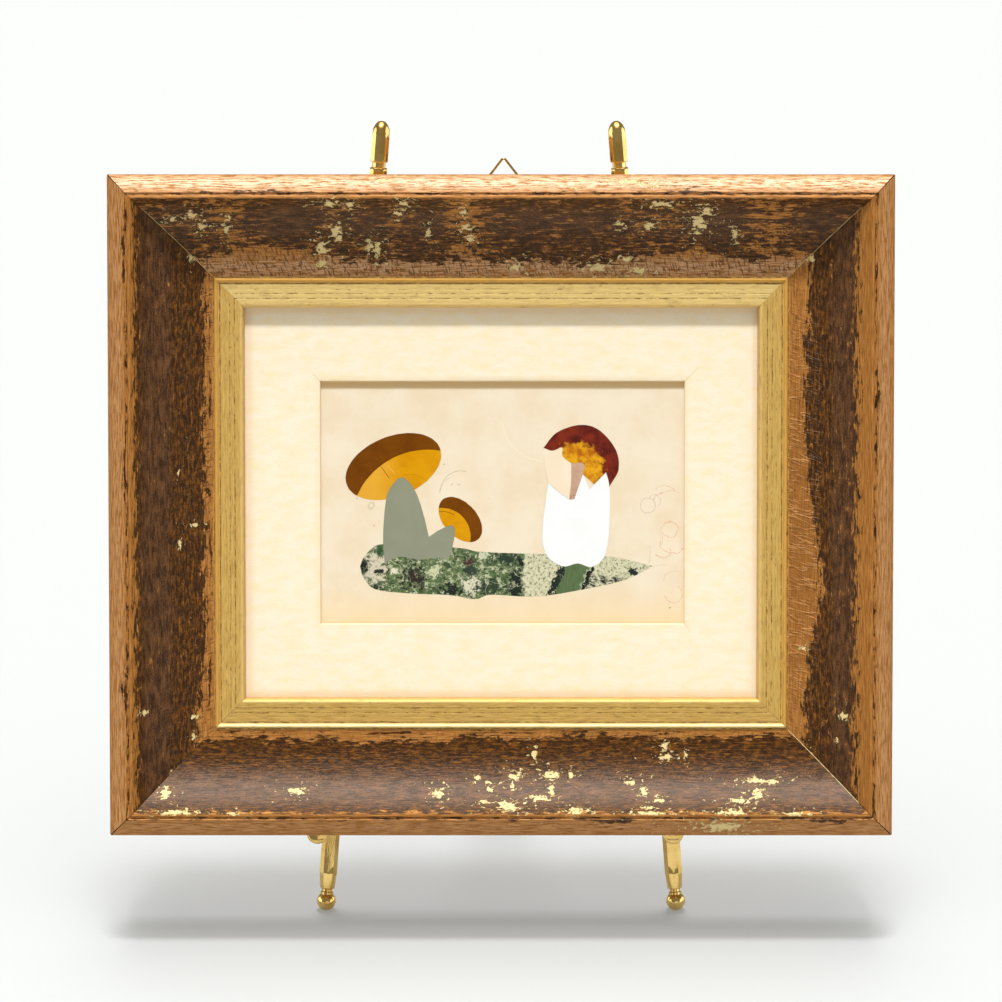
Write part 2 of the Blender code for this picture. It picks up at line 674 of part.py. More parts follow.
def across_axis(back, up, along):
    """A point of a shape that is extruded along the pivot."""
    return (along, back, up)


def make_pivot(parent, upper_bar, brass):
    """Two lugs on the upper bar and the pin that the rear leg folds on."""
    pivot = guide("pivot", parent, (0, PIVOT_BACK, PIVOT_RISE))
    inner = EYE_WIDTH / 2 + GAP
    root = ((-PIVOT_STANDOFF - BAR_THICKNESS / 2, EYE_RADIUS),
            (-PIVOT_STANDOFF - BAR_THICKNESS / 2, -EYE_RADIUS))
    outline = [(EYE_RADIUS * math.cos(angle), EYE_RADIUS * math.sin(angle))
               for angle in (math.pi * (step / ROUND_SIDES - 0.5) for step in range(ROUND_SIDES + 1))]
    for side, sign in (("left", -1), ("right", 1)):
        lug = extruded(f"lug_{side}", outline + list(root), sign * inner,
                       sign * (inner + LUG_THICKNESS), across_axis, None, pivot)
        combine(upper_bar, lug, "UNION")
    half = inner + LUG_THICKNESS + GAP
    reach = half + PIN_HEAD_LENGTH
    pin_axis = guide("pin_axis", pivot, (0, 0, 0), (0, 0, -math.pi / 2))
    radius = PIN_DIAMETER / 2
    head = PIN_HEAD_DIAMETER / 2
    turned("pivot_pin", [(-reach, head), (-half, head), (-half, radius), (half, radius),
                         (half, head), (reach, head)], brass, pin_axis)
    bore = turned("pin_bore", [(-reach, radius + GAP), (reach, radius + GAP)], None, pin_axis)
    combine(upper_bar, bore, "DIFFERENCE")
    return pivot, bore


def make_rear_leg(pivot, bore, floor, brass):
    """The folding leg: ball foot, chamfered bar, flat tongue and eye with its stop."""
    fall = PIVOT_RISE * math.cos(LEAN) - PIVOT_BACK * math.sin(LEAN)
    setback = PIVOT_RISE * math.sin(LEAN) + PIVOT_BACK * math.cos(LEAN)
    length = math.hypot(REAR_REACH - setback, fall)
    opening = LEAN + math.atan2(REAR_REACH - setback, fall)
    fold = guide("rear_leg_fold", pivot, (0, 0, 0), (opening, 0, 0))
    rings, ankle = foot_sections()
    rings += bar_sections(ankle, length - TONGUE_LENGTH + EYE_RADIUS)
    lowered = [[(x, y, z - length) for x, y, z in ring] for ring in rings]
    leg = smooth(lofted("easel_rear_leg", lowered, brass, fold))
    half = EYE_WIDTH / 2
    tongue = [(EYE_RADIUS * math.cos(angle), EYE_RADIUS * math.sin(angle))
              for angle in (math.pi * step / ROUND_SIDES for step in range(ROUND_SIDES + 1))]
    tongue += [(-LEG_WIDTH / 2 + LEG_CHAMFER, -TONGUE_LENGTH),
               (LEG_WIDTH / 2 - LEG_CHAMFER, -TONGUE_LENGTH)]
    combine(leg, extruded("tongue", tongue, -half, half, across_axis, None, fold), "UNION")
    stop = GAP - PIVOT_STANDOFF
    heel = [(stop, HEEL_LIFT), (0, HEEL_LIFT - EYE_RADIUS / 2), (0, HEEL_HEIGHT), (stop, HEEL_HEIGHT)]
    combine(leg, extruded("heel", heel, -half, half, across_axis, None, pivot), "UNION")
    combine(leg, bore, "DIFFERENCE")
    combine(leg, floor, "DIFFERENCE")


def make_hook(name, foot_side, tilt, offset, brass, parent):
    """A short arm under the frame, with a round head set to one side."""
    across = foot_side * (FOOT_SPREAD / 2 - math.tan(tilt) * HOOK_RISE)
    front = -LEG_WIDTH / 2 - GAP
    head = HOOK_HEAD_DIAMETER / 2
    neck = HOOK_NECK_DIAMETER / 2
    root = HOOK_ROOT_DIAMETER / 2
    head_start = HOOK_LENGTH - HOOK_HEAD_LENGTH
    profile = [(0, root), (HOOK_ROOT_LENGTH, root), (HOOK_ROOT_LENGTH, neck),
               (head_start, neck), (head_start, head - HOOK_EDGE), (head_start + HOOK_EDGE, head),
               (HOOK_LENGTH - HOOK_EDGE, head), (HOOK_LENGTH, head - HOOK_EDGE)]
    rings = []
    for along, radius in profile:
        share = min(max((along - HOOK_ROOT_LENGTH) / (head_start - HOOK_ROOT_LENGTH), 0), 1)
        middle = across + foot_side * offset * share
        rings.append([(middle + radius * math.cos(2 * math.pi * side / ROUND_SIDES), front - along,
                       HOOK_RISE + radius * math.sin(2 * math.pi * side / ROUND_SIDES))
                      for side in range(ROUND_SIDES)])
    smooth(lofted(name, rings, brass, parent))


def make_floor_cutter(parent):
    """A block under the standing surface that files a flat on each foot."""
    reach = FRAME_WIDTH
    corners = [(-reach, -reach), (reach, -reach), (reach, reach), (-reach, reach)]

    def place(x, y, z):
        return (x, y, z)

    return extruded("floor_cutter", corners, -FOOT_DIAMETER, 0, place, None, parent)


def make_easel(lean, floor):
    """Front legs, crossbars, hooks and the folding rear leg."""
    brass = material("easel_brass", (0.62, 0.43, 0.15), 0.25, 1.0)
    make_front_legs(lean, floor, brass)
    upper_bar = crossbar("easel_upper_bar", UPPER_BAR_RISE, brass, lean)
    crossbar("easel_lower_bar", LOWER_BAR_RISE, brass, lean)
    pivot, bore = make_pivot(lean, upper_bar, brass)
    make_rear_leg(pivot, bore, floor, brass)
    make_hook("easel_hook_left", -1, LEFT_TILT, HOOK_LEFT_OFFSET, brass, lean)
    make_hook("easel_hook_right", 1, RIGHT_TILT, HOOK_RIGHT_OFFSET, brass, lean)


def centre_depth(base):
    """Slide the whole object along Y until its middle is over the origin."""
    view = bpy.context.evaluated_depsgraph_get()
    depths = []
    for piece in bpy.data.objects:
        if piece.type == "MESH" and not piece.hide_render:
            shape = piece.evaluated_get(view)
            depths += [(shape.matrix_world @ vertex.co).y for vertex in shape.data.vertices]
    base.location.y = -(min(depths) + max(depths)) / 2


def main():
    clear_scene()
    base = guide("base")
    lean = guide("lean", base, (0, 0, FOOT_HEIGHT), (-LEAN, 0, 0))
    back_of_panel = -LEG_WIDTH / 2 - GAP
    panel = guide("panel", lean, (0, back_of_panel, FRAME_RISE + FRAME_HEIGHT / 2))
    floor = make_floor_cutter(base)
    filling = guide("filling", panel, (LINER_SHIFT, 0, 0))
    rails = make_frame(panel)
    make_liner(filling)
    make_picture(filling)
    make_board(panel)
    make_hanger(panel, rails["top"])
    make_easel(lean, floor)
    bpy.context.view_layer.update()
    centre_depth(base)


main()
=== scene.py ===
# %% [markdown]
# # A framed picture of inlaid stone on a brass easel
# The real thing is a slab of beige stone with coloured stones let into it, in a cream liner and a deep
# lacquered frame. It leans back on a small folding easel. The imported model holds the true sizes, so it is
# loaded first, and everything that follows is modelled over it in metres.

# %%
# Load the imported model
import math

import bpy
from mathutils import Matrix, Vector, noise


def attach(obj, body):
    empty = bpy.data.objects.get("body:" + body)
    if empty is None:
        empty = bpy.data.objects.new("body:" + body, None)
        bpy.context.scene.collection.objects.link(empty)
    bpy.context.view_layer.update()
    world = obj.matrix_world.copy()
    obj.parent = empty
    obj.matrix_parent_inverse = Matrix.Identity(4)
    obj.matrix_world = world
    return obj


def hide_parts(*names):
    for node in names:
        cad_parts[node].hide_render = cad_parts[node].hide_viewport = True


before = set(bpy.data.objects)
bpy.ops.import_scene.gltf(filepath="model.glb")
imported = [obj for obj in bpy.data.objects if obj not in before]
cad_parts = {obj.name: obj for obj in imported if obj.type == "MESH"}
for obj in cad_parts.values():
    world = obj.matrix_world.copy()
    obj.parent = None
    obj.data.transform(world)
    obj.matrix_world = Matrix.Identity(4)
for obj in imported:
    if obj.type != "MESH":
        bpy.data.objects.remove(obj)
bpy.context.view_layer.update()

# %% [markdown]
# ## Where the panel and the easel stand
# The panel leans back 15 degrees. Two places are enough for the whole model: the middle of the panel's
# back, and the line between the two front feet. Pieces are shaped upright and flat round these places, then
# laid into them.

# %%
# Places of the panel, of its filling and of the easel
LEAN = math.radians(15)
TILT = Matrix.Rotation(-LEAN, 4, "X")
PANEL = Matrix.Translation((0, -0.01874, 0.16747)) @ TILT
FILLING = PANEL @ Matrix.Translation((0.0006, 0, 0))
EASEL = Matrix.Translation((0, -0.05859, 0.0037)) @ TILT
MM = 0.001
WIDTH, HEIGHT, DEPTH = 0.322, 0.2724, 0.0348
print("panel leans", round(math.degrees(LEAN)), "degrees")

# %% [markdown]
# ## Camera
# The photograph is taken from far away with a long lens, a little above the middle of the panel, so the
# sides of the frame stay almost parallel. The lens is worked out from the sizes of the frame in the
# picture.

# %%
# Camera at the photograph's angle
CAMERA_PLACE = (0, -2.76358404, 1.19303791)
AIM = Vector((0, -0.04723473, 0.17743651))
bpy.ops.object.camera_add(location=CAMERA_PLACE)
camera = bpy.context.object
camera.rotation_euler = (AIM - camera.location).to_track_quat("-Z", "Y").to_euler()
camera.data.lens = 254.12
camera.data.sensor_width = 36
camera.data.clip_end = 30
bpy.context.scene.camera = camera
print("camera is", round((AIM - camera.location).length, 3), "m away")

# %% [markdown]
# ## Floor and light
# A studio table under a long overhead softbox. The softbox is three lamps side by side that light the
# floor, with a wide one behind them, so that the panel's shadow is crisp in front and then fades. The
# floor's paint glows faintly, as a table does in a white room. Another lamp, a little to the front, lights
# the panel itself and gives the short shadows under the frame's lip. The surroundings are bright overhead
# and dim at the sides, which gives gloss on what faces up and keeps the dark lacquer dark.

# %%
# Floor, lamps and surroundings
bpy.context.scene.view_settings.view_transform = "Standard"


def shade(red, green, blue):
    """A colour as it shows on a screen, from 0 to 255, made into a linear one."""
    levels = []
    for level in (red, green, blue):
        level = level / 255
        levels.append(level / 12.92 if level <= 0.04045 else ((level + 0.055) / 1.055) ** 2.4)
    return (*levels, 1.0)


bpy.ops.mesh.primitive_plane_add(size=12, location=(0, 0, -0.00002))
floor = bpy.context.object
floor.name = "floor"
floor_paint = bpy.data.materials.new("floor paint")
floor_paint.use_nodes = True
paint = floor_paint.node_tree.nodes["Principled BSDF"]
paint.inputs["Base Color"].default_value = (0.575, 0.592, 0.602, 1)
paint.inputs["Roughness"].default_value = 0.9
paint.inputs["Specular IOR Level"].default_value = 0.1
paint.inputs["Emission Color"].default_value = (0.80, 0.89, 1.0, 1)
paint.inputs["Emission Strength"].default_value = 0.20
floor.data.materials.append(floor_paint)


def lamp(name, energy, width, shining, pieces, link="INCLUDE", kind="SUN"):
    """A lamp, most often a sun with an angular width, which lights some pieces alone or leaves them out."""
    bpy.ops.object.light_add(type=kind, location=(0, -0.3, 1.5))
    source = bpy.context.object
    source.name = name
    source.data.energy = energy
    if kind == "SUN":
        source.data.angle = math.radians(width)
    source.rotation_euler = Vector(shining).to_track_quat("-Z", "Y").to_euler()
    receivers = bpy.data.collections.new(name + " receivers")
    for number, piece in enumerate(pieces):
        receivers.objects.link(piece)
        receivers.collection_objects[number].light_linking.link_state = link
    source.light_linking.receiver_collection = receivers
    return source


panel_lamp = lamp("panel lamp", 3.5, 5, (0.02, 0.1845, -1), [floor], "EXCLUDE")
panel_lamp.data.color = (0.88, 0.92, 1.0)
for number, sideways in enumerate((-0.05, 0.0, 0.05)):
    lamp(f"floor lamp {number + 1}", 0.42, 7, (sideways, -0.08, -1), [floor])
lamp("rear floor lamp", 0.85, 17, (0.0, -0.42, -1), [floor])

bpy.context.scene.world = bpy.data.worlds.new("studio")
bpy.context.scene.world.use_nodes = True
sky = bpy.context.scene.world.node_tree
SIDES_LEVEL, OVERHEAD_LEVEL = 0.30, 2.5
SIDES_UP_TO, OVERHEAD_FROM = 0.80, 0.97
upwards = sky.nodes.new("ShaderNodeSeparateXYZ")
sky.links.new(sky.nodes.new("ShaderNodeTexCoord").outputs["Generated"], upwards.inputs[0])
ramp = sky.nodes.new("ShaderNodeMapRange")
ramp.interpolation_type = "SMOOTHSTEP"
sky.links.new(upwards.outputs["Z"], ramp.inputs["Value"])
for key, value in (("From Min", SIDES_UP_TO), ("From Max", OVERHEAD_FROM), ("To Min", SIDES_LEVEL),
                   ("To Max", OVERHEAD_LEVEL)):
    ramp.inputs[key].default_value = value
sky.links.new(ramp.outputs["Result"], sky.nodes["Background"].inputs["Strength"])
sky.nodes["Background"].inputs["Color"].default_value = (1.0, 0.955, 0.84, 1)
print("floor, lamps and surroundings")

# %% [markdown]
# ## Tools for modelling
# Everything long or round is a grid whose rows are laid on rings of points: a rail, a leg, a wire. Working
# from one grid keeps the faces even, so that fine relief and a flat map for the finish come with it.

# %%
# A grid laid on rings of points


def deselect():
    """Leave nothing selected."""
    for item in list(bpy.context.selected_objects):
        item.select_set(False)


def edit(*steps):
    """Run edit-mode operators on everything in the active mesh."""
    bpy.ops.object.mode_set(mode="EDIT")
    bpy.ops.mesh.select_all(action="SELECT")
    for step in steps:
        step()
    bpy.ops.object.mode_set(mode="OBJECT")


def face_out():
    """Turn all faces outwards."""
    bpy.ops.mesh.select_all(action="SELECT")
    bpy.ops.mesh.normals_make_consistent(inside=False)


def smooth(angle):
    """Shade the active piece smooth up to an angle."""
    bpy.ops.object.shade_smooth_by_angle(angle=math.radians(angle))


def wrapped(name, rings, place, looped=False, chart=None, fields=None, angle=35):
    """A tube through rings of points, with its ends closed unless it is looped."""
    count = len(rings[0])
    rows = len(rings) if looped else len(rings) - 1
    deselect()
    bpy.ops.mesh.primitive_grid_add(x_subdivisions=count, y_subdivisions=rows, size=2)
    piece = bpy.context.object
    piece.name = piece.data.name = name
    spots = [(round((vertex.co.y + 1) / 2 * rows), round((vertex.co.x + 1) / 2 * count))
             for vertex in piece.data.vertices]
    for vertex, (row, column) in zip(piece.data.vertices, spots):
        vertex.co = rings[row % len(rings)][column % count]
    if chart:
        flat = piece.data.uv_layers.active.data
        for loop in piece.data.loops:
            flat[loop.index].uv = chart(*spots[loop.vertex_index])
    for key, value in (fields or {}).items():
        layer = piece.data.attributes.new(key, "FLOAT", "POINT")
        layer.data.foreach_set("value", [value(row, column % count) for row, column in spots])
    edit(lambda: bpy.ops.mesh.remove_doubles(threshold=0.000003),
         lambda: bpy.ops.mesh.fill_holes(sides=0), face_out)
    piece.data.transform(place)
    smooth(angle)
    return piece


def modified(piece, kind, **settings):
    """Add a modifier to a piece and apply it."""
    deselect()
    piece.select_set(True)
    bpy.context.view_layer.objects.active = piece
    change = piece.modifiers.new(kind.lower(), kind)
    for key, value in settings.items():
        setattr(change, key, value)
    bpy.ops.object.modifier_apply(modifier=change.name)


def settle(piece, node, material, body="stand"):
    """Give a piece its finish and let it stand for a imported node."""
    piece.data.materials.clear()
    piece.data.materials.append(material)
    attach(piece, body)
    if node:
        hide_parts(node)
    print(piece.name, len(piece.data.polygons), "faces")


print("modelling tools ready")

# %% [markdown]
# ## Tools for finishes
# A finish is a small net of nodes. These helpers keep the nets short to read: each adds one node, sets it,
# and joins what it is given.

# %%
# Short ways to add nodes


def put(tree, kind, sockets=None, **settings):
    """Add a node, set it and join its sockets."""
    node = tree.nodes.new(kind)
    for key, value in settings.items():
        setattr(node, key, value)
    for key, value in (sockets or {}).items():
        if isinstance(value, bpy.types.NodeSocket):
            tree.links.new(value, node.inputs[key])
        else:
            node.inputs[key].default_value = value
    return node


def sum_of(tree, operation, first, second=0.0, third=0.0, clamp=False):
    """One step of arithmetic."""
    return put(tree, "ShaderNodeMath", {0: first, 1: second, 2: third}, operation=operation,
               use_clamp=clamp).outputs[0]


def step_at(tree, value, low, high):
    """0 below low, 1 above high and a soft step between them."""
    return put(tree, "ShaderNodeMapRange", {"Value": value, "From Min": low, "From Max": high},
               interpolation_type="SMOOTHSTEP").outputs[0]


def mixed(tree, share, first, second):
    """One colour over another by a share."""
    node = put(tree, "ShaderNodeMix", data_type="RGBA")
    for socket, value in zip((node.inputs["Factor"], node.inputs[6], node.inputs[7]), (share, first, second)):
        if isinstance(value, bpy.types.NodeSocket):
            tree.links.new(value, socket)
        else:
            socket.default_value = value
    return node.outputs[2]


def laid(tree, under, mask, strength, over):
    """A colour laid over another where a mask says, with a strength."""
    return mixed(tree, sum_of(tree, "MULTIPLY", mask, strength), under, over)


def grain(tree, vector, stretch, detail, roughness, place=(0, 0, 0), distortion=0.0):
    """Noise stretched along its axes, in features per metre."""
    mapping = put(tree, "ShaderNodeMapping", {"Vector": vector, "Location": place, "Scale": stretch})
    return put(tree, "ShaderNodeTexNoise", {"Vector": mapping.outputs[0], "Scale": 1.0, "Detail": detail,
                                            "Roughness": roughness, "Distortion": distortion}).outputs[0]


def field(tree, name):
    """A value painted on the mesh."""
    return put(tree, "ShaderNodeAttribute", attribute_name=name).outputs["Fac"]


def group(name, inputs, outputs):
    """An empty node group with its sockets, and its two ends."""
    tree = bpy.data.node_groups.new(name, "ShaderNodeTree")
    for key, kind in inputs.items():
        tree.interface.new_socket(key, in_out="INPUT", socket_type="NodeSocket" + kind)
    for key, kind in outputs.items():
        tree.interface.new_socket(key, in_out="OUTPUT", socket_type="NodeSocket" + kind)
    return tree, put(tree, "NodeGroupInput").outputs, put(tree, "NodeGroupOutput").inputs


def finish(name, **constants):
    """A material and its shader, with plain values set on the shader's own sockets."""
    material = bpy.data.materials.new(name)
    material.use_nodes = True
    shader = material.node_tree.nodes["Principled BSDF"]
    for key, value in constants.items():
        shader.inputs[key.replace("_", " ")].default_value = value
    return material, material.node_tree, shader


def dress(tree, shader, colour, roughness, height, relief, metallic=None):
    """Join what a net puts out to the shader."""
    tree.links.new(colour, shader.inputs["Base Color"])
    tree.links.new(roughness, shader.inputs["Roughness"])
    if metallic is not None:
        tree.links.new(metallic, shader.inputs["Metallic"])
    bump = put(tree, "ShaderNodeBump", {"Height": height, "Distance": relief, "Strength": 1.0})
    tree.links.new(bump.outputs[0], shader.inputs["Normal"])


print("finish tools ready")

# %% [markdown]
# ## The moulding
# The frame is a deep spoon moulding: a rounded band outside, a thin groove and ridge, a wide hollow, then a
# gilded bead, a flat band with fine scored lines and a lip. A maker runs it from one length of wood and
# cuts four mitred rails. Here one curve of depths does the same work, and it is swept along each side.

# %%
# Depth of the moulding, measured back from its ridge
BAND, GROOVE, RIDGE, COVE, BEAD, SIGHT, LIP = 0.0071, 0.0014, 0.0010, 0.0334, 0.0020, 0.0090, 0.0016
GROOVE_AT = BAND
RIDGE_AT = GROOVE_AT + GROOVE
COVE_AT = RIDGE_AT + RIDGE
BEAD_AT = COVE_AT + COVE
SIGHT_AT = BEAD_AT + BEAD
LIP_AT = SIGHT_AT + SIGHT
RAIL = LIP_AT + LIP
SHOULDER, BAND_FALL, BAND_SWELL, ARRIS = 0.0004, 0.0045, 0.0004, 0.0006
GROOVE_DROP, COVE_DROP, BEAD_RISE, SIGHT_RISE, LIP_DROP = 0.0005, 0.0168, 0.0009, 0.0008, 0.0013
COVE_RADIUS = (COVE ** 2 + COVE_DROP ** 2) / (2 * COVE_DROP)
# Lines scored along the sight band: distance in, and share of the depth
SCORED = ((0.0006, 1.0), (0.0029, 0.55), (0.0046, 0.75), (0.0066, 0.85))
SCORE_WIDTH, SCORE_DEPTH = 0.00028, 0.00009


def hill(distance, reach):
    """A smooth hill, 1 in the middle."""
    return math.exp(-(distance / reach) ** 2)


def scored(inwards):
    """Depth share of the lines scored along the gilded band."""
    return max(weight * hill(inwards - SIGHT_AT - place, SCORE_WIDTH) for place, weight in SCORED)


def moulding(inwards):
    """Depth of the front at a distance in from the outer edge."""
    if inwards < GROOVE_AT:
        share = inwards / BAND
        edge = BAND_FALL * (1 - share) + ARRIS * (1 - share) ** 12
        return SHOULDER + edge - BAND_SWELL * math.sin(math.pi * share)
    if inwards < RIDGE_AT:
        return SHOULDER + GROOVE_DROP * math.sin(math.pi * (inwards - GROOVE_AT) / GROOVE)
    if inwards < COVE_AT:
        return SHOULDER * (1 - math.sin(math.pi * (inwards - RIDGE_AT) / RIDGE) ** 0.5)
    if inwards < BEAD_AT:
        angle = math.asin((BEAD_AT - inwards) / COVE_RADIUS)
        return COVE_DROP - COVE_RADIUS * (1 - math.cos(angle))
    if inwards < SIGHT_AT:
        return COVE_DROP - BEAD_RISE * math.sin(math.pi * (inwards - BEAD_AT) / BEAD)
    if inwards < LIP_AT:
        return COVE_DROP - SIGHT_RISE * (inwards - SIGHT_AT) / SIGHT + SCORE_DEPTH * scored(inwards)
    return COVE_DROP - SIGHT_RISE + (LIP_DROP + SIGHT_RISE) * ((inwards - LIP_AT) / LIP) ** 2


def spread(start, end, steps):
    """Evenly spaced values after start, up to end."""
    return [start + (end - start) * step / steps for step in range(1, steps + 1)]


FRONT = ([0.0] + spread(0, BAND, 12) + spread(GROOVE_AT, RIDGE_AT, 6) + spread(RIDGE_AT, COVE_AT, 6)
         + spread(COVE_AT, BEAD_AT, 56) + spread(BEAD_AT, SIGHT_AT, 8) + spread(SIGHT_AT, LIP_AT, 45)
         + spread(LIP_AT, RAIL, 5))
# The back: under the lip, down the rebate, along the back and up the outer side
LIP_BACK, REBATE, SIDE_IN = 0.0203, 0.006, 0.0045
BACK = [(RAIL, LIP_BACK), (RAIL - REBATE, LIP_BACK), (RAIL - REBATE, DEPTH), (SIDE_IN, DEPTH),
        (SIDE_IN, 0.0114), (0.0034, 0.0092), (0.0016, 0.0074), (0.0002, 0.0063)]
print("points across a rail", len(FRONT) + len(BACK))

# %% [markdown]
# ## Wear and painted light on the frame
# The lacquer is old. It is rubbed through to copper on the outer band and next to the gilding, stays dark
# in the hollow, and pale flecks of leaf and gesso show where it has chipped, most of them on the top and
# bottom rails. These places are painted on the mesh as simple fields, and the material breaks them up
# finely. Some fields are painted light instead: painted highlight on the top rail, the bottom bead and the
# lip, and painted shade on the other beads and in the scored lines, where there is dirt as well.

# %%
# Places of wear on each side, in millimetres along and in from the edge
# Each side: width of the copper next to the gilding, its sway, places where it is wider (along, reach, more)
STRIPS = {"top": (6.4, 2.4, ((-97, 28, 6.5), (78, 16, 5.5), (118, 20, 2.0))),
          "bottom": (3.6, 1.6, ((-60, 40, 1.5),)),
          "left": (4.0, 0.7, ((-95, 20, 4.0),)),
          "right": (7.0, 1.4, ((-30, 34, 7.0), (95, 20, 2.0)))}
# Each side's hollow: wear at the outer edge, millimetres it fades over, wear in the middle and its sway
HOLLOW = {"top": (0.38, 9, 0.38, 0.30), "bottom": (0.54, 9, 0.11, 0.16), "left": (0.70, 9, 0.17, 0.16),
          "right": (1.05, 11, 0.25, 0.16)}
# How thick the spray of tiny flecks is, and how far the strip next to the gilding is combed
SPRAY = {"top": 0.75, "bottom": 0.73, "left": 0.68, "right": 0.66}
COMBED = {"top": 1.0, "left": 0.9, "right": 0.5, "bottom": 0.4}
# Each fleck: along, in, half its width and half its height
FLECKS = {
    "top": [(80.8, 20.3, 3.0, 3.8), (84, 15, 2.6, 1.8), (-67.6, 24.1, 2.2, 3.4), (-70, 12, 3.4, 1.2),
            (-61.7, 12.2, 1.9, 1.6), (-126, 17.1, 2.3, 1.7), (-122.7, 21.6, 2.0, 1.7),
            (-73.5, 31, 2.0, 3.2), (-73.4, 36.8, 2.6, 1.4), (-53.8, 29.4, 1.4, 2.6),
            (-50.5, 31.3, 1.5, 3.4), (-14.8, 22.1, 1.7, 1.3), (-15.1, 15.6, 1.3, 1.7),
            (-12.7, 27, 1.6, 1.6), (-113, 22.3, 1.8, 2.2), (-39.4, 11.7, 2.3, 1.2), (-42, 16, 1.8, 1.2),
            (60.2, 21.6, 2.4, 1.5), (65, 11.9, 4.4, 1.2), (48.3, 20.8, 1.4, 1.5), (40, 39, 4.4, 1.6),
            (57, 40.6, 2.6, 1.2), (-29.6, 24.1, 1.0, 2.4), (-134.6, 18.4, 2.0, 1.0), (52, 35, 3.2, 0.9),
            (6, 38.5, 2.4, 1.6), (96, 25, 1.2, 2.6), (52, 3.0, 6.5, 0.8), (61, 4.4, 4.5, 0.6),
            (69, 2.6, 3.0, 0.5), (-46, 2.4, 4.5, 0.6), (30, 5.2, 2.4, 0.4)],
    "bottom": [(105.8, 16.8, 2.6, 2.2), (98, 14.6, 5.4, 0.9), (106.6, 21.9, 7.6, 1.0), (112, 22, 1.8, 1.6),
               (6, 23.6, 3.4, 2.0), (4.6, 20, 0.9, 3.6), (3, 12.4, 5.6, 1.8), (14.5, 15.4, 5.2, 1.1),
               (20.8, 18.6, 1.6, 2.4), (20.5, 24, 4.4, 1.7), (28.8, 24.4, 1.2, 1.6), (31, 10.6, 4.4, 1.4),
               (58.9, 17.6, 1.6, 2.8), (65, 14.4, 2.8, 1.1), (53.3, 21.3, 1.8, 1.8),
               (60.6, 11.9, 2.6, 0.8), (91.5, 4.0, 9.4, 2.4), (95.8, 10.2, 7.0, 1.4), (121, 9.6, 5.0, 0.9),
               (-25.8, 17.1, 3.0, 2.0), (-138.6, 17.3, 2.4, 2.6), (-9.5, 23.1, 1.3, 1.4),
               (-4.5, 18.7, 1.1, 1.7), (-7, 14, 3.0, 0.8), (-133, 10, 8.0, 1.0), (-110, 9.6, 3.0, 0.8),
               (13.6, 32, 1.2, 2.2), (67.5, 35.5, 1.2, 2.6), (69, 31.5, 2.8, 1.4), (76, 32, 0.9, 2.0),
               (-85, 18, 4.0, 1.4), (62, 9.8, 9.0, 0.7)],
    "left": [(-85, 14.3, 0.9, 2.0), (-96.7, 34.2, 1.3, 1.6), (-88.6, 34.4, 0.9, 1.7),
             (102, 34.7, 2.4, 2.4), (12.5, 28.4, 1.6, 0.7), (-8.8, 34, 0.8, 3.2), (-16, 28.7, 1.8, 0.8),
             (-112, 26, 2.0, 1.2)],
    "right": [(-87.2, 19.9, 2.0, 2.2), (-98.2, 22.4, 1.0, 1.1), (-105, 33, 2.4, 1.4), (-119, 20, 1.2, 1.0),
              (101, 34, 1.4, 1.8), (-60, 36, 0.8, 2.4)],
}
SEEDS = {"top": 3.0, "bottom": 11.0, "left": 19.0, "right": 27.0}


def sway(seed, along, step):
    """A slow wander along a rail, from -1 to 1."""
    return noise.noise((along / step, seed, 0.0))


def within(value):
    """A share kept from 0 to 1."""
    return max(0.0, min(1.0, value))


def copper_field(side, along, inwards):
    """How far the lacquer is rubbed through, from 0 to 1."""
    seed = SEEDS[side]
    if inwards < GROOVE_AT:
        patch = max(0.0, sway(seed + 6, along, 0.030) + 0.5 * sway(seed + 7, along, 0.009))
        return within(0.95 - 0.9 * patch * (inwards / BAND) ** 2 - 0.25 * hill(inwards - BAND, 0.0006))
    if inwards < RIDGE_AT:
        return 0.58
    if inwards < COVE_AT:
        return 0.95
    width, wander, places = STRIPS[side]
    width += sum(more * hill(along / MM - place, reach) for place, reach, more in places)
    width += wander * (1.4 * sway(seed + 1, along, 0.022) + 0.9 * sway(seed + 2, along, 0.006))
    inner = 0.5 + (inwards - BEAD_AT + width * MM) / 0.0075
    line = BEAD_AT - (0.35 * width + 0.8 * sway(seed + 4, along, 0.02)) * MM
    inner -= 0.75 * hill(inwards - line, 0.0006) * within(0.3 + 2 * sway(seed + 8, along, 0.03))
    edge, fade, middle, swing = HOLLOW[side]
    outer = edge - (inwards - COVE_AT) / MM / fade
    middle += swing * sway(seed + 5, along, 0.025) + 0.10 * sway(seed + 9, along, 0.008)
    return within(max(inner, outer, middle))


def grey_field(side, along, inwards):
    """Where the lacquer is the greyer kind, in the outer part of the hollow."""
    middle = (inwards - COVE_AT - 0.0098 - 0.002 * sway(SEEDS[side] + 3, along, 0.03)) / 0.0072
    return within(1.3 - abs(middle))


def fleck_field(side, along, inwards):
    """Where pale flecks lie: 1 inside a fleck, falling off round it."""
    nearest = min(math.hypot((along / MM - place) / half_width, (inwards / MM - depth) / half_height)
                  for place, depth, half_width, half_height in FLECKS[side])
    return max(1.06 - 0.34 * nearest, SPRAY[side] - 0.05 * nearest, 0.45)


def painted_highlight_field(side, along, inwards):
    """Painted highlight on the top rail, the bottom bead and the lip; a paler copper on the other bands."""
    if inwards > BEAD_AT:
        on_bead = hill(inwards - BEAD_AT - BEAD * 0.6, 0.0009) if side == "bottom" else 0.0
        return max(0.9 * on_bead, 0.35 * hill(inwards - LIP_AT - 0.0004, 0.0006),
                   0.30 if side == "top" and inwards > SIGHT_AT + 0.0004 else 0.0)
    if side != "top":
        return 0.12 * hill(inwards - 0.004, 0.003)
    return max(0.56 * hill(inwards - 0.0034, 0.0030), 0.30 * hill(inwards - BEAD_AT + 0.0040, 0.0040))


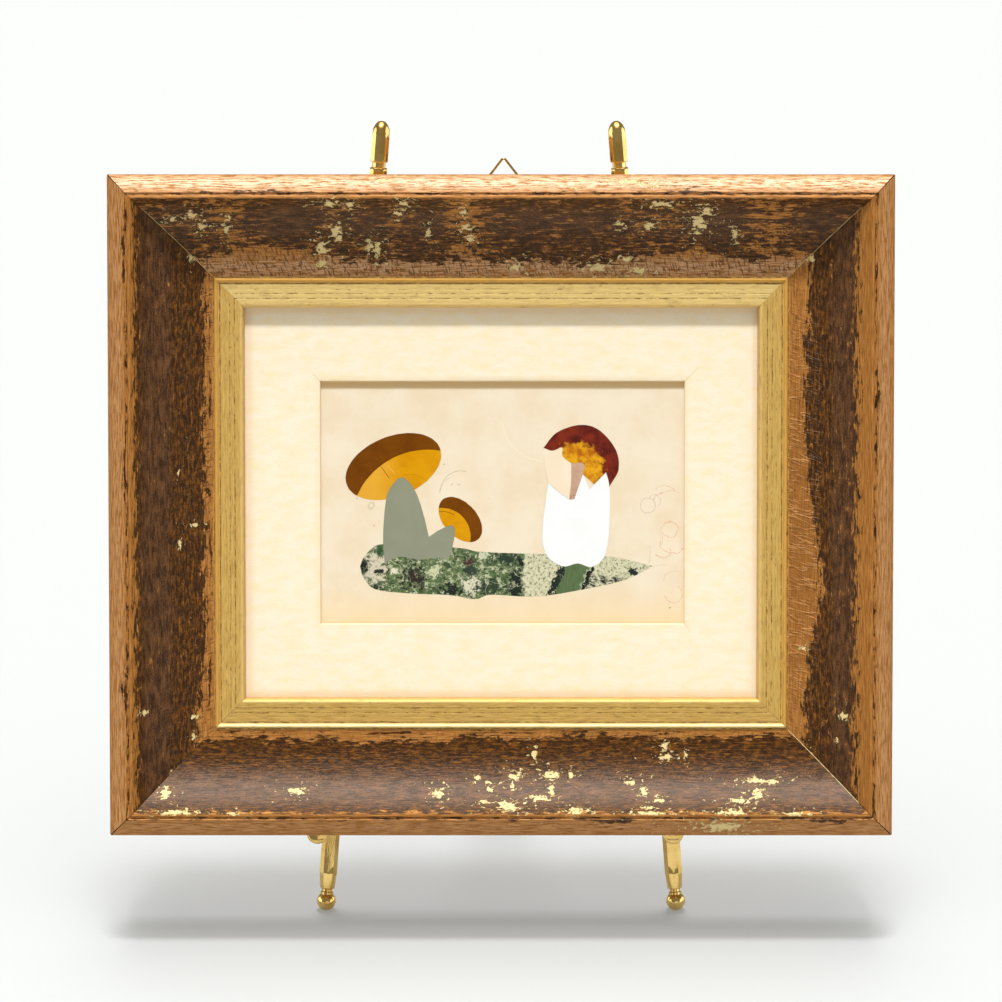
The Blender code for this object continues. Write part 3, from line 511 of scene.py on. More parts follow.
def gilded_field(side, along, inwards):
    """The gilding, from the bead inwards."""
    return 1.0 if inwards > BEAD_AT - 0.0002 + 0.0004 * sway(5, along, 0.004) else 0.0


def amber_and_bead_shade_field(side, along, inwards):
    """Deeper gilding at the lip, and painted shade on the bead of every rail but the bottom."""
    # Painted shade on the bead of the top and side rails; the bottom bead gets painted highlight instead
    bead = 0.1 if side == "bottom" else 0.8
    return max(bead * hill(inwards - BEAD_AT - BEAD / 2, 0.0010),
               0.4 * hill(inwards - LIP_AT - 0.0006, 0.0007))


def scored_dirt_and_shade_field(side, along, inwards):
    """Dirt and painted shade in the lines scored along the gilding and beside the bead."""
    return max(scored(inwards), 0.9 * hill(inwards - BEAD_AT, 0.0003))


def combed_field(side, along, inwards):
    """Where the copper is ticked by a comb, across the strip."""
    return COMBED[side] if COVE_AT + 0.012 < inwards < BEAD_AT else 0.0


def crackled_field(side, along, inwards):
    """Raised creases across the right rail's strip."""
    if side != "right" or inwards >= BEAD_AT:
        return 0.0
    return within((inwards - COVE_AT - 0.019) / 0.004) * within(1.4 - abs(along + 0.005) / 0.07)


WEAR_AND_PAINTED_LIGHT = {"rubbed": copper_field, "grey": grey_field, "chipped": fleck_field, "pale": painted_highlight_field,
        "gilded": gilded_field, "amber": amber_and_bead_shade_field, "hollow": scored_dirt_and_shade_field, "combed": combed_field,
        "crackled": crackled_field}
print("flecks", {side: len(places) for side, places in FLECKS.items()})

# %% [markdown]
# ## The aged lacquer
# One node group makes the whole finish of a rail from the painted fields: two dark lacquers, copper under
# them, gilding with dirt and painted shade in its lines, painted highlights and pale flecks. It is a
# group because four rails share it, each with its own values. Long thin noise follows the rail, as brush
# and rubbing marks do.

# %%
# Node group for the aged lacquer, with its noises
lacquer, given, result = group(
    "aged lacquer", {"Map": "Vector", **{name.title(): "Float" for name in WEAR_AND_PAINTED_LIGHT}, "Bare": "Float"},
    {"Color": "Color", "Roughness": "Float", "Metallic": "Float", "Height": "Float"})
flat = given["Map"]
streaks = grain(lacquer, flat, (130, 1700, 1), 5, 0.62)
patches = grain(lacquer, flat, (150, 360, 1), 6, 0.68, (7, 3, 0), 0.3)
mottle = grain(lacquer, flat, (300, 760, 1), 6, 0.74, (3, 8, 0), 0.4)
specks = grain(lacquer, flat, (1500, 2300, 1), 3, 0.6, (1, 9, 0))
print("noises of the lacquer", len(lacquer.nodes), "nodes")

# %%
# Dark lacquer, brown in places and grey in others


def swung(base, value, weight):
    """A value moved up and down by noise."""
    return sum_of(lacquer, "SUBTRACT", sum_of(lacquer, "MULTIPLY_ADD", value, weight, base), weight / 2)


rubbing = swung(swung(swung(given["Rubbed"], patches, 1.5), streaks, 0.8), mottle, 0.9)
bared = step_at(lacquer, rubbing, 0.46, 0.60)
stained = sum_of(lacquer, "MULTIPLY_ADD", mottle, 0.65, sum_of(lacquer, "MULTIPLY", streaks, 0.35))
brown = mixed(lacquer, step_at(lacquer, stained, 0.44, 0.68), shade(44, 22, 3), shade(146, 88, 20))
fibrous = sum_of(lacquer, "MULTIPLY_ADD", streaks, 0.5, sum_of(lacquer, "MULTIPLY", specks, 0.5))
grey = mixed(lacquer, step_at(lacquer, swung(fibrous, patches, 0.7), 0.38, 0.64), shade(46, 25, 12),
             shade(112, 73, 40))
greyness = step_at(lacquer, swung(swung(given["Grey"], patches, 1.8), mottle, 1.2), 0.25, 0.85)
dark = mixed(lacquer, greyness, brown, grey)
print("dark lacquer", len(lacquer.nodes), "nodes")

# %%
# Copper under the lacquer: with painted highlight, ticked by a comb and creased
copper = mixed(lacquer, step_at(lacquer, streaks, 0.35, 0.65), shade(148, 92, 36), shade(196, 134, 64))
copper = laid(lacquer, copper, step_at(lacquer, specks, 0.58, 0.70), 0.55, shade(104, 62, 30))
# Painted highlight on the copper where the Pale field is high, broken up by noise
highlight_breakup = step_at(lacquer, swung(mottle, streaks, 1.2), 0.34, 0.60)
copper = laid(lacquer, copper, given["Pale"], highlight_breakup, shade(255, 230, 200))
turned = put(lacquer, "ShaderNodeMapping", {"Vector": flat, "Rotation": (0, 0, 0.30)}).outputs[0]
teeth = grain(lacquer, turned, (1150, 300, 1), 3, 0.6, (4, 1, 0))
comb = sum_of(lacquer, "MULTIPLY", step_at(lacquer, teeth, 0.53, 0.60), given["Combed"])
copper = laid(lacquer, copper, comb, 0.75, shade(92, 54, 26))
folds = grain(lacquer, turned, (330, 70, 1), 2, 0.5, (6, 2, 0), 0.3)
crease = sum_of(lacquer, "ABSOLUTE", sum_of(lacquer, "SUBTRACT", folds, 0.5))
raised = sum_of(lacquer, "MULTIPLY", step_at(lacquer, crease, 0.045, 0.0), given["Crackled"])
copper = laid(lacquer, copper, given["Crackled"], 0.45, shade(140, 84, 30))
copper = laid(lacquer, copper, raised, 0.30, shade(214, 158, 92))
colour = mixed(lacquer, bared, dark, copper)
print("copper", len(lacquer.nodes), "nodes")

# %%
# Gilding with painted highlight, dirt and painted shade in its lines, pale chips and bare wood at the back
gold = mixed(lacquer, step_at(lacquer, streaks, 0.30, 0.70), shade(194, 152, 76), shade(221, 183, 102))
# Deeper gold at the lip, and painted shade on the beads of the top and side rails
gold = mixed(lacquer, given["Amber"], gold, shade(226, 166, 74))
# Painted highlight on the gilding where the Pale field is high: the top rail, the bottom bead and the lip
gold = mixed(lacquer, given["Pale"], gold, shade(255, 236, 168))
gold = laid(lacquer, gold, step_at(lacquer, patches, 0.50, 0.70), 0.40, shade(164, 130, 70))
# Dirt and painted shade in the scored lines, with patches of real dirt from the mottle
line_dirt_and_shade = step_at(lacquer, sum_of(lacquer, "MULTIPLY_ADD", given["Hollow"], 0.40, mottle), 0.70, 0.86)
dirt_and_line_shade = sum_of(lacquer, "MAXIMUM", line_dirt_and_shade, step_at(lacquer, mottle, 0.62, 0.70))
gold = laid(lacquer, gold, dirt_and_line_shade, 0.86, shade(92, 62, 26))
colour = mixed(lacquer, given["Gilded"], colour, gold)
chips = grain(lacquer, flat, (460, 640, 1), 6, 0.68, (2, 6, 0), 0.6)
chipped = step_at(lacquer, sum_of(lacquer, "MULTIPLY_ADD", chips, 1.6, given["Chipped"]), 1.56, 1.62)
colour = mixed(lacquer, chipped, colour, mixed(lacquer, specks, shade(212, 176, 90), shade(252, 236, 184)))
wood = mixed(lacquer, streaks, shade(150, 110, 68), shade(205, 168, 118))
lacquer.links.new(mixed(lacquer, given["Bare"], colour, wood), result["Color"])
print("gilding and chips", len(lacquer.nodes), "nodes")

# %%
# Metal, gloss and relief of the lacquer
worn_metal = sum_of(lacquer, "MAXIMUM", sum_of(lacquer, "MULTIPLY", bared, 0.15),
                    sum_of(lacquer, "MULTIPLY", given["Gilded"], 0.20))
cover = sum_of(lacquer, "SUBTRACT", 1.0, sum_of(lacquer, "MAXIMUM", chipped, given["Bare"]), clamp=True)
lacquer.links.new(sum_of(lacquer, "MULTIPLY", worn_metal, cover), result["Metallic"])
satin = sum_of(lacquer, "MULTIPLY_ADD", bared, 0.10, sum_of(lacquer, "MULTIPLY_ADD", specks, 0.20, 0.30))
dull = sum_of(lacquer, "MAXIMUM", satin, sum_of(lacquer, "MULTIPLY", given["Bare"], 0.75))
lacquer.links.new(dull, result["Roughness"])
relief = sum_of(lacquer, "MULTIPLY", streaks, 0.8)
for layer, height in ((bared, -0.35), (mottle, 0.6), (comb, -0.5), (raised, 2.2), (chipped, -0.7)):
    relief = sum_of(lacquer, "MULTIPLY_ADD", layer, height, relief)
lacquer.links.new(relief, result["Height"])
print("aged lacquer has", len(lacquer.nodes), "nodes")

# %%
# A lacquer for each rail, moved on so that no two are alike


def rail_finish(side):
    """The aged lacquer with one rail's own stretch of noise."""
    material, tree, shader = finish(f"aged lacquer {side}", Specular_IOR_Level=0.35,
                                    Specular_Tint=(1.0, 0.80, 0.64, 1.0))
    flat_map = put(tree, "ShaderNodeMapping", {"Vector": put(tree, "ShaderNodeUVMap").outputs[0],
                                               "Location": (SEEDS[side], SEEDS[side] / 7, 0)})
    net = put(tree, "ShaderNodeGroup", node_tree=lacquer)
    tree.links.new(flat_map.outputs[0], net.inputs["Map"])
    for key in (*WEAR_AND_PAINTED_LIGHT, "bare"):
        tree.links.new(field(tree, key), net.inputs[key.title()])
    dress(tree, shader, net.outputs["Color"], net.outputs["Roughness"], net.outputs["Height"], 0.00018,
          net.outputs["Metallic"])
    return material


print("finishes for", len(SEEDS), "rails")

# %% [markdown]
# ## Four mitred rails
# Each rail is the moulding swept along its side, with small dents and an uneven hollow from hand sanding.
# The mitres are nearly closed on the inside and gape a little at the outer band, where old frames open
# first. Their edges are worn pale on the top rail.

# %%
# Sweep the moulding along each side
SIDES = {"top": (0, 1), "bottom": (0, -1), "left": (-1, 0), "right": (1, 0)}
ALONG_STEPS = 290
# Air in a mitre at the front and at the back, the wider gape at the outer edge, and how far in it reaches
FRONT_AIR, BACK_AIR, GAPE, GAPE_REACH = 0.00006, 0.00001, 0.00030, 0.010
# Rows close to a mitre, back from it, and how far its very edge is worn down
MITRE, WORN_DOWN = (0.0, 0.00015, 0.00040), 0.00008
PALE_MITRES = (("top", -1), ("top", 1), ("bottom", 1))
LEAST_DEPTH = 0.00005


def spot_on(side, across, depth, along):
    """A point of one side, from its distance out from the middle, its depth and its place along."""
    out_x, out_z = SIDES[side]
    return (out_x * across + abs(out_z) * along, depth - DEPTH, out_z * across + abs(out_x) * along)


def dents(side, along, inwards):
    """Small unevenness of the front, in waves of about 12 and 4 millimetres."""
    seed = SEEDS[side]
    soft = noise.noise((along / 0.012, inwards / 0.006, seed))
    fine = noise.noise((along / 0.004, inwards / 0.0012, seed + 4))
    if inwards < COVE_AT:
        return abs(0.00007 * soft + 0.00003 * fine)
    if inwards < BEAD_AT:
        return 0.00013 * soft + 0.00004 * fine
    return 0.00003 * fine


def rail(side):
    """One rail of the frame."""
    reach, run = (WIDTH / 2, HEIGHT / 2) if SIDES[side][0] else (HEIGHT / 2, WIDTH / 2)
    section = [(inwards, moulding(inwards), True) for inwards in FRONT] + [(*point, False) for point in BACK]
    lengths = [0.0]
    for before, here in zip(section, section[1:]):
        lengths.append(lengths[-1] + math.dist(before[:2], here[:2]))
    inner_rows = [(-1 + step / ALONG_STEPS * 2, 0.0) for step in range(1, ALONG_STEPS)]
    rows = [(-1, back) for back in MITRE] + inner_rows + [(1, back) for back in reversed(MITRE)]
    rings = []
    for share, back in rows:
        ring = []
        for inwards, depth, front in section:
            air = FRONT_AIR + GAPE * max(0.0, 1 - inwards / GAPE_REACH) if front else BACK_AIR
            along = share * (run - inwards - air - back)
            if front:
                depth = max(depth + dents(side, along, inwards), LEAST_DEPTH)
                depth += WORN_DOWN if back == 0.0 and abs(share) == 1 else 0.0
            ring.append(spot_on(side, reach - inwards, depth, along))
        rings.append(ring)

    def at(row, column):
        inwards, _, front = section[column % len(section)]
        share, back = rows[row]
        return share * (run - inwards - back), inwards, front

    def chart(row, column):
        length = lengths[column] if column < len(section) else lengths[-1] + 0.001
        return at(row, column)[0], length

    def painted(wear):
        def paint_at(row, column):
            along, inwards, front = at(row, column)
            if not front:
                return 0.0
            share, back = rows[row]
            if wear is fleck_field and back < MITRE[2] and (side, share) in PALE_MITRES:
                return 1.1 if COVE_AT + 0.004 < inwards < BEAD_AT else 0.0
            return wear(side, along, inwards)
        return paint_at

    fields = {name: painted(wear) for name, wear in WEAR_AND_PAINTED_LIGHT.items()}
    fields["bare"] = lambda row, column: 0.0 if at(row, column)[2] else 1.0
    piece = wrapped(f"rail_{side}", rings, PANEL, chart=chart, fields=fields, angle=50)
    settle(piece, f"frame_{side}", rail_finish(side))


for side in SIDES:
    rail(side)

# %% [markdown]
# ## The liner
# A flat cream strip between the gilding and the stone, mitred as the frame is. Its paint has hidden most of
# the joints, so they only show as fine cracks that start at three corners of the window. The crack is a
# real gap that closes a few millimetres out.

# %%
# Mitred liner strips with cracks at three corners
LINER_OUT = (0.1106, 0.0858)
LINER_WIDTH = 0.0357
LINER_FRONT, LINER_LIP, LINER_REBATE, ROUND, SLAB_BACK = 0.0204, 0.0013, 0.0059, 0.0006, 0.0286
LINER_AIR, CRACK_OPEN = 0.000004, 0.00007
# Each crack: side and end, and how far it runs out from the window
CRACKS = {("top", -1): 0.0075, ("left", 1): 0.0075, ("top", 1): 0.0095, ("right", 1): 0.0095,
          ("bottom", 1): 0.0035, ("right", -1): 0.0035}


def liner_section():
    """Liner strip from its outer edge inwards, with a softly rounded inner edge."""
    face = [(inwards, LINER_FRONT) for inwards in [0.0] + spread(0, LINER_WIDTH - ROUND, 16)]
    edge = [(LINER_WIDTH - ROUND + ROUND * math.sin(turn), LINER_FRONT + ROUND * (1 - math.cos(turn)))
            for turn in spread(0, math.pi / 2, 5)]
    back = LINER_WIDTH - LINER_REBATE
    return face + edge + [(LINER_WIDTH, LINER_FRONT + LINER_LIP), (back, LINER_FRONT + LINER_LIP),
                          (back, SLAB_BACK), (0.0, SLAB_BACK)]


def liner(side, paint_finish):
    """One strip of the liner."""
    reach, run = LINER_OUT if SIDES[side][0] else reversed(LINER_OUT)
    section = liner_section()
    rings = []
    for step in range(-40, 41):
        share = math.sin(math.pi / 2 * step / 40)
        crack = CRACKS.get((side, 1 if share > 0 else -1), 0.0)
        ring = []
        for inwards, depth in section:
            opening = max(0.0, 1 - (LINER_WIDTH - inwards) / crack) if crack else 0.0
            along = share * (run - inwards - LINER_AIR - CRACK_OPEN * opening)
            if depth == LINER_FRONT:
                depth += 0.00005 * noise.noise((along / 0.02, inwards / 0.01, SEEDS[side]))
            ring.append(spot_on(side, reach - inwards, depth, along))
        rings.append(ring)

    # Painted reflection of the gilded lip as a warmer band just inside the lip; the window's edge is warmer
    # too
    def warm(row, column):
        inwards = section[column % len(section)][0]
        return max(hill(inwards - 0.0056, 0.0012), 0.8 * hill(LINER_WIDTH - inwards, 0.0006))

    piece = wrapped(f"liner_{side}_strip", rings, FILLING, fields={"warm": warm})
    settle(piece, f"liner_{side}", paint_finish)


def picture_map(tree):
    """Coordinates of the picture in metres: x across, z up, from its middle."""
    back = FILLING.inverted()
    source = put(tree, "ShaderNodeTexCoord").outputs["Object"]
    return put(tree, "ShaderNodeMapping", {"Vector": source, "Location": back.translation,
                                           "Rotation": back.to_euler()}).outputs[0]


cream, net, shader = finish("cream liner paint", Specular_IOR_Level=0.3)
flat = picture_map(net)
brushed = grain(net, flat, (420, 1, 1700), 5, 0.65)
clouds = grain(net, flat, (110, 1, 240), 6, 0.7, (3, 0, 5))
tone = mixed(net, step_at(net, clouds, 0.38, 0.68), shade(252, 238, 212), shade(251, 232, 192))
tone = laid(net, tone, step_at(net, brushed, 0.50, 0.70), 0.35, shade(244, 218, 166))
# Painted reflection of the gilded lip, from the field above, laid on the paint
tone = laid(net, tone, field(net, "warm"), 0.45, shade(236, 184, 96))
dress(net, shader, tone, step_at(net, brushed, -1.0, 1.2), brushed, 0.00004)
for side in SIDES:
    liner(side, cream)

# %% [markdown]
# ## Outlines of the stones
# The picture is a common mushroom motif. Its shapes are a few ovals, arcs and smooth curves, given as
# shares of the picture's length, the same as in the solid model but drawn more finely. A fretsaw leaves a
# slight waver, so each outline gets one too.

# %%
# Curves for the outlines
PICTURE_ACROSS, PICTURE_UP = 0.1206, 0.12055
# Steps between two points of a curve, least distance of two points, and the saw's waver with its wave length
FINE, CLOSEST, WAVER, WAVE = 9, 0.0001, 0.00009, 0.002


def curve(*points):
    """A smooth open curve through the points."""
    stops = [Vector(point) for point in points]
    stops = [stops[0] * 2 - stops[1], *stops, stops[-1] * 2 - stops[-2]]
    line = [tuple(points[0])]
    for before, start, end, after in zip(stops, stops[1:], stops[2:], stops[3:]):
        for step in range(1, FINE + 1):
            t = step / FINE
            point = (start * 2 + (end - before) * t + (before * 2 - start * 5 + end * 4 - after) * t ** 2
                     + (start * 3 - before - end * 3 + after) * t ** 3) / 2
            line.append(tuple(point))
    return line


def oval(middle, half_long, half_short, tilt, sides=120):
    """A tilted oval."""
    turned = Matrix.Rotation(math.radians(tilt), 2)
    points = []
    for side in range(sides):
        angle = 2 * math.pi * side / sides
        point = turned @ Vector((half_long * math.cos(angle), half_short * math.sin(angle)))
        points.append((middle[0] + point.x, middle[1] + point.y))
    return points


def outline_of(shares, seed):
    """Shares of the picture made into metres, without doubles and with a sawn waver."""
    outline = []
    for x, z in shares:
        point = Vector((x * PICTURE_ACROSS, z * PICTURE_UP))
        if not outline or (point - outline[-1]).length > CLOSEST:
            outline.append(point)
    if (outline[0] - outline[-1]).length < 2 * CLOSEST:
        outline.pop()
    return [(x + WAVER * noise.noise((x / WAVE, z / WAVE, seed)),
             z + WAVER * noise.noise((x / WAVE, z / WAVE, seed + 50))) for x, z in outline]


def grown(outline, margin):
    """The outline moved outwards by a margin."""
    area = sum(a[0] * b[1] - b[0] * a[1] for a, b in zip(outline, outline[1:] + outline[:1]))
    moved = []
    for before, here, after in zip(outline[-1:] + outline[:-1], outline, outline[1:] + outline[:1]):
        edges = [(Vector(end) - Vector(start)).normalized() for start, end in ((before, here), (here, after))]
        normals = [Vector((edge.y, -edge.x)) * math.copysign(1, area) for edge in edges]
        middle = (normals[0] + normals[1]).normalized()
        moved.append(tuple(Vector(here) + middle * margin / max(middle.dot(normals[0]), 0.4)))
    return moved


print("a picture of", PICTURE_ACROSS, "by", PICTURE_UP, "m")

# %%
# Outlines of the ten stones
tall_stem = curve((-0.403, -0.209), (-0.408, -0.134), (-0.403, -0.030), (-0.388, 0.042), (-0.345, 0.086),
                  (-0.304, 0.048), (-0.275, -0.025), (-0.252, -0.119))
short_stem = curve((-0.252, -0.119), (-0.212, -0.093), (-0.176, -0.080), (-0.163, -0.096), (-0.171, -0.152),
                   (-0.185, -0.201))
stem_foot = curve((-0.185, -0.201), (-0.213, -0.191), (-0.245, -0.193), (-0.285, -0.197), (-0.324, -0.190),
                  (-0.362, -0.189), (-0.403, -0.209))
ground_top = curve((-0.487, -0.221), (-0.475, -0.190), (-0.444, -0.157), (-0.409, -0.144), (-0.283, -0.146),
                   (-0.139, -0.158), (-0.077, -0.170), (0.094, -0.177), (0.249, -0.180), (0.378, -0.188),
                   (0.515, -0.219))
ground_foot = curve((0.515, -0.219), (0.437, -0.260), (0.343, -0.286), (0.197, -0.314), (0.094, -0.324),
                    (-0.039, -0.318), (-0.094, -0.333), (-0.180, -0.319), (-0.317, -0.313), (-0.434, -0.299),
                    (-0.475, -0.259), (-0.487, -0.221))
cup_body = curve((0.157, 0.066), (0.148, 0.003), (0.138, -0.082), (0.139, -0.146), (0.160, -0.192),
                 (0.208, -0.220), (0.258, -0.210), (0.301, -0.222), (0.338, -0.202), (0.359, -0.150),
                 (0.367, -0.048), (0.366, 0.052), (0.354, 0.103))
TOOTH_TIP = (0.275, 0.097)
veil_inner = curve((0.229, 0.009), (0.235, 0.072), (0.236, 0.133))
veil_top = curve((0.236, 0.133), (0.206, 0.158), (0.203, 0.188), (0.171, 0.177), (0.140, 0.187))
cap_edge = curve((0.140, 0.187), (0.188, 0.241), (0.270, 0.266), (0.333, 0.246), (0.387, 0.181),
                 (0.397, 0.114), (0.371, 0.063))
stalk_side = curve((0.268, 0.040), TOOTH_TIP, (0.281, 0.125), (0.268, 0.136), (0.236, 0.133))
SHARES = {
    "large_cap": oval((-0.373, 0.123), 0.171, 0.103, 22),
    "large_gills": oval((-0.254, -0.085), 0.266, 0.266, 0, 240),
    "twin_stem": tall_stem + short_stem + stem_foot,
    "small_cap": oval((-0.144, -0.059), 0.091, 0.057, -48),
    "small_gills": oval((-0.208, -0.118), 0.099, 0.099, 0),
    "ground": ground_top + ground_foot,
    "red_cap": cap_edge + [(0.350, 0.030), TOOTH_TIP, (0.190, 0.090)],
    "white_cup": cup_body + [(0.298, 0.045), TOOTH_TIP, (0.258, 0.046), (0.246, 0.011), (0.229, 0.009),
                             (0.191, 0.036), (0.157, 0.066)],
    "pale_veil": curve((0.140, 0.187), (0.145, 0.127), (0.157, 0.066)) + veil_inner + veil_top,
    "young_stalk": list(reversed(veil_inner)) + [(0.246, 0.011)] + stalk_side,
}
SHAPES = {name: outline_of(shares, index * 7.0) for index, (name, shares) in enumerate(SHARES.items())}
print("stones", len(SHAPES))

# %% [markdown]
# ## The slab and its stones
# Each stone starts as a flat disc whose rim is moved onto the outline, and is then extruded to its
# thickness. The pockets in the slab are cut with slightly larger copies, which leaves the hairline joint
# that a good inlay has.

# %%
# Cut the slab and the stones
SLAB_FRONT, INLAY, JOINT, OVERCUT = 0.0221, 0.0025, 0.00004, 0.001
SLAB_SIZE = (0.1598, 0.0065, 0.1102)


def extruded(name, points, way):
    """A flat disc moved onto points and extruded one way."""
    deselect()
    bpy.ops.mesh.primitive_circle_add(vertices=len(points), radius=0.01, fill_type="NGON")
    piece = bpy.context.object
    piece.name = piece.data.name = name
    for vertex, point in zip(piece.data.vertices, points):
        vertex.co = point
    edit(lambda: bpy.ops.mesh.extrude_region_move(TRANSFORM_OT_translate={"value": way}), face_out)
    return piece


def blank(name, outline, front, thickness):
    """An outline of the picture as a flat blank."""
    return extruded(name, [(x, front - DEPTH, z) for x, z in outline], (0, thickness, 0))


def cut(piece, other, operation="DIFFERENCE"):
    """Cut one blank with another."""
    modified(piece, "BOOLEAN", object=other, operation=operation, solver="EXACT")


stones = {name: blank(name + "_stone", shape, SLAB_FRONT, INLAY) for name, shape in SHAPES.items()}
cutters = {name: blank(name + "_pocket", grown(shape, JOINT), SLAB_FRONT - OVERCUT, INLAY + OVERCUT + JOINT)
           for name, shape in SHAPES.items()}
deselect()
bpy.ops.mesh.primitive_cube_add(size=1, location=(0, SLAB_FRONT + SLAB_SIZE[1] / 2 - DEPTH, 0))
slab = bpy.context.object
slab.name = slab.data.name = "slab"
slab.scale = SLAB_SIZE
bpy.ops.object.transform_apply(location=True, rotation=True, scale=True)
print("slab, stones and cutters", 1 + len(stones) + len(cutters))

# %%
# Trim the stones where they meet, and cut the slab's pockets
MEETINGS = (("ground", "twin_stem"), ("ground", "white_cup"), ("red_cap", "white_cup"),
            ("red_cap", "pale_veil"), ("red_cap", "young_stalk"), ("pale_veil", "white_cup"),
            ("pale_veil", "young_stalk"), ("young_stalk", "white_cup"))
POCKETS = ("large_cap", "small_cap", "twin_stem", "ground", "red_cap", "white_cup", "pale_veil",
           "young_stalk")
for cap, gills in (("large_cap", "large_gills"), ("small_cap", "small_gills")):
    head = blank(cap + "_head", SHAPES[cap], SLAB_FRONT - OVERCUT, INLAY + 2 * OVERCUT)
    cut(stones[cap], cutters[gills])
    cut(stones[gills], head, "INTERSECT")
    cut(stones[gills], cutters["twin_stem"])
    bpy.data.objects.remove(head)
for name, other in MEETINGS:
    cut(stones[name], cutters[other])
for name in POCKETS:
    cut(slab, cutters[name])
for cutter in cutters.values():
    bpy.data.objects.remove(cutter)
for piece in [slab, *stones.values()]:
    piece.data.transform(FILLING)
print("slab has", len(slab.data.polygons), "faces")

# %% [markdown]
# ## Stone
# Honed limestone, marble and jasper are all fine grain under soft clouds of colour, so one group makes the
# body of every stone from a light and a dark tone and a few specks. Each material then adds what only that
# stone has.

# %%
# Node group for the body of a stone
body, given, result = group(
    "stone body", {"Map": "Vector", "Light": "Color", "Dark": "Color", "Speck": "Color", "Cloud": "Float",
                   "Specks": "Float"},
    {"Color": "Color", "Roughness": "Float", "Height": "Float"})
spaced = put(body, "ShaderNodeVectorMath", {0: given["Map"], 3: given["Cloud"]}, operation="SCALE").outputs[0]
soft = grain(body, spaced, (1, 1, 1), 6, 0.6)
tiny = grain(body, given["Map"], (2200, 2200, 2200), 3, 0.6)
spots = grain(body, given["Map"], (800, 800, 800), 2, 0.5, (5, 2, 9))
colour = mixed(body, step_at(body, soft, 0.32, 0.68), given["Light"], given["Dark"])
speckled = step_at(body, sum_of(body, "ADD", spots, given["Specks"]), 0.80, 0.86)
body.links.new(mixed(body, speckled, colour, given["Speck"]), result["Color"])
body.links.new(sum_of(body, "MULTIPLY_ADD", tiny, 0.20, 0.28), result["Roughness"])
body.links.new(sum_of(body, "MULTIPLY_ADD", tiny, 0.6, soft), result["Height"])


def stone_finish(name, light, dark, speck, cloud, specks=0.0, **constants):
    """A stone's material, with its picture map and body to build on."""
    material, tree, shader = finish(name, **{"Specular_IOR_Level": 0.25, **constants})
    flat_map = picture_map(tree)
    net_node = put(tree, "ShaderNodeGroup", node_tree=body)
    tree.links.new(flat_map, net_node.inputs["Map"])
    for key, value in (("Light", light), ("Dark", dark), ("Speck", speck), ("Cloud", cloud),
                       ("Specks", specks)):
        net_node.inputs[key].default_value = value
    dress(tree, shader, net_node.outputs["Color"], net_node.outputs["Roughness"],
          net_node.outputs["Height"], 0.00002)
    return material, tree, shader, flat_map, net_node.outputs["Color"]


def split(tree, vector):
    """The three parts of a vector."""
    return put(tree, "ShaderNodeSeparateXYZ", {0: vector}).outputs


def recolour(tree, shader, colour):
    """Give the shader a new colour."""
    tree.links.new(colour, shader.inputs["Base Color"])


def drawn(tree, flat_map, x, z, radius, width, start, end, waver):
    """Mask of a thin arc drawn on the picture, in millimetres and degrees."""
    wander = grain(tree, flat_map, (300, 1, 300), 2, 0.5, (x, 0, z))
    apart = put(tree, "ShaderNodeVectorMath", {0: flat_map, 1: (x * MM, 0, z * MM)},
                operation="SUBTRACT").outputs[0]
    parts = split(tree, apart)
    distance = sum_of(tree, "SQRT", sum_of(tree, "ADD", sum_of(tree, "MULTIPLY", parts[0], parts[0]),
                                           sum_of(tree, "MULTIPLY", parts[2], parts[2])))
    off = sum_of(tree, "MULTIPLY_ADD", sum_of(tree, "SUBTRACT", wander, 0.5), waver * MM, distance)
    off = sum_of(tree, "ABSOLUTE", sum_of(tree, "SUBTRACT", off, radius * MM))
    middle, half = math.radians((start + end) / 2), math.radians((end - start) / 2)
    turned_off = sum_of(tree, "SUBTRACT", sum_of(tree, "ARCTAN2", parts[2], parts[0]), middle)
    inside = step_at(tree, sum_of(tree, "ABSOLUTE", turned_off), half + min(0.1, 0.5 / radius), half)
    return sum_of(tree, "MULTIPLY", step_at(tree, off, width * MM, 0.0), inside)


def marked(tree, flat_map, colour, marks):
    """A colour with thin arcs drawn over it."""
    for *arc, tint, strength in marks:
        colour = laid(tree, colour, drawn(tree, flat_map, *arc), strength, shade(*tint))
    return colour


print("stone body ready")

# %% [markdown]
# ## The beige slab
# Its surface is a warm, quiet beige that is more orange near the bottom. A few old pencil and rust marks
# lie on it: a small ring, some wavy lines at the right and a broken arc between the mushrooms.

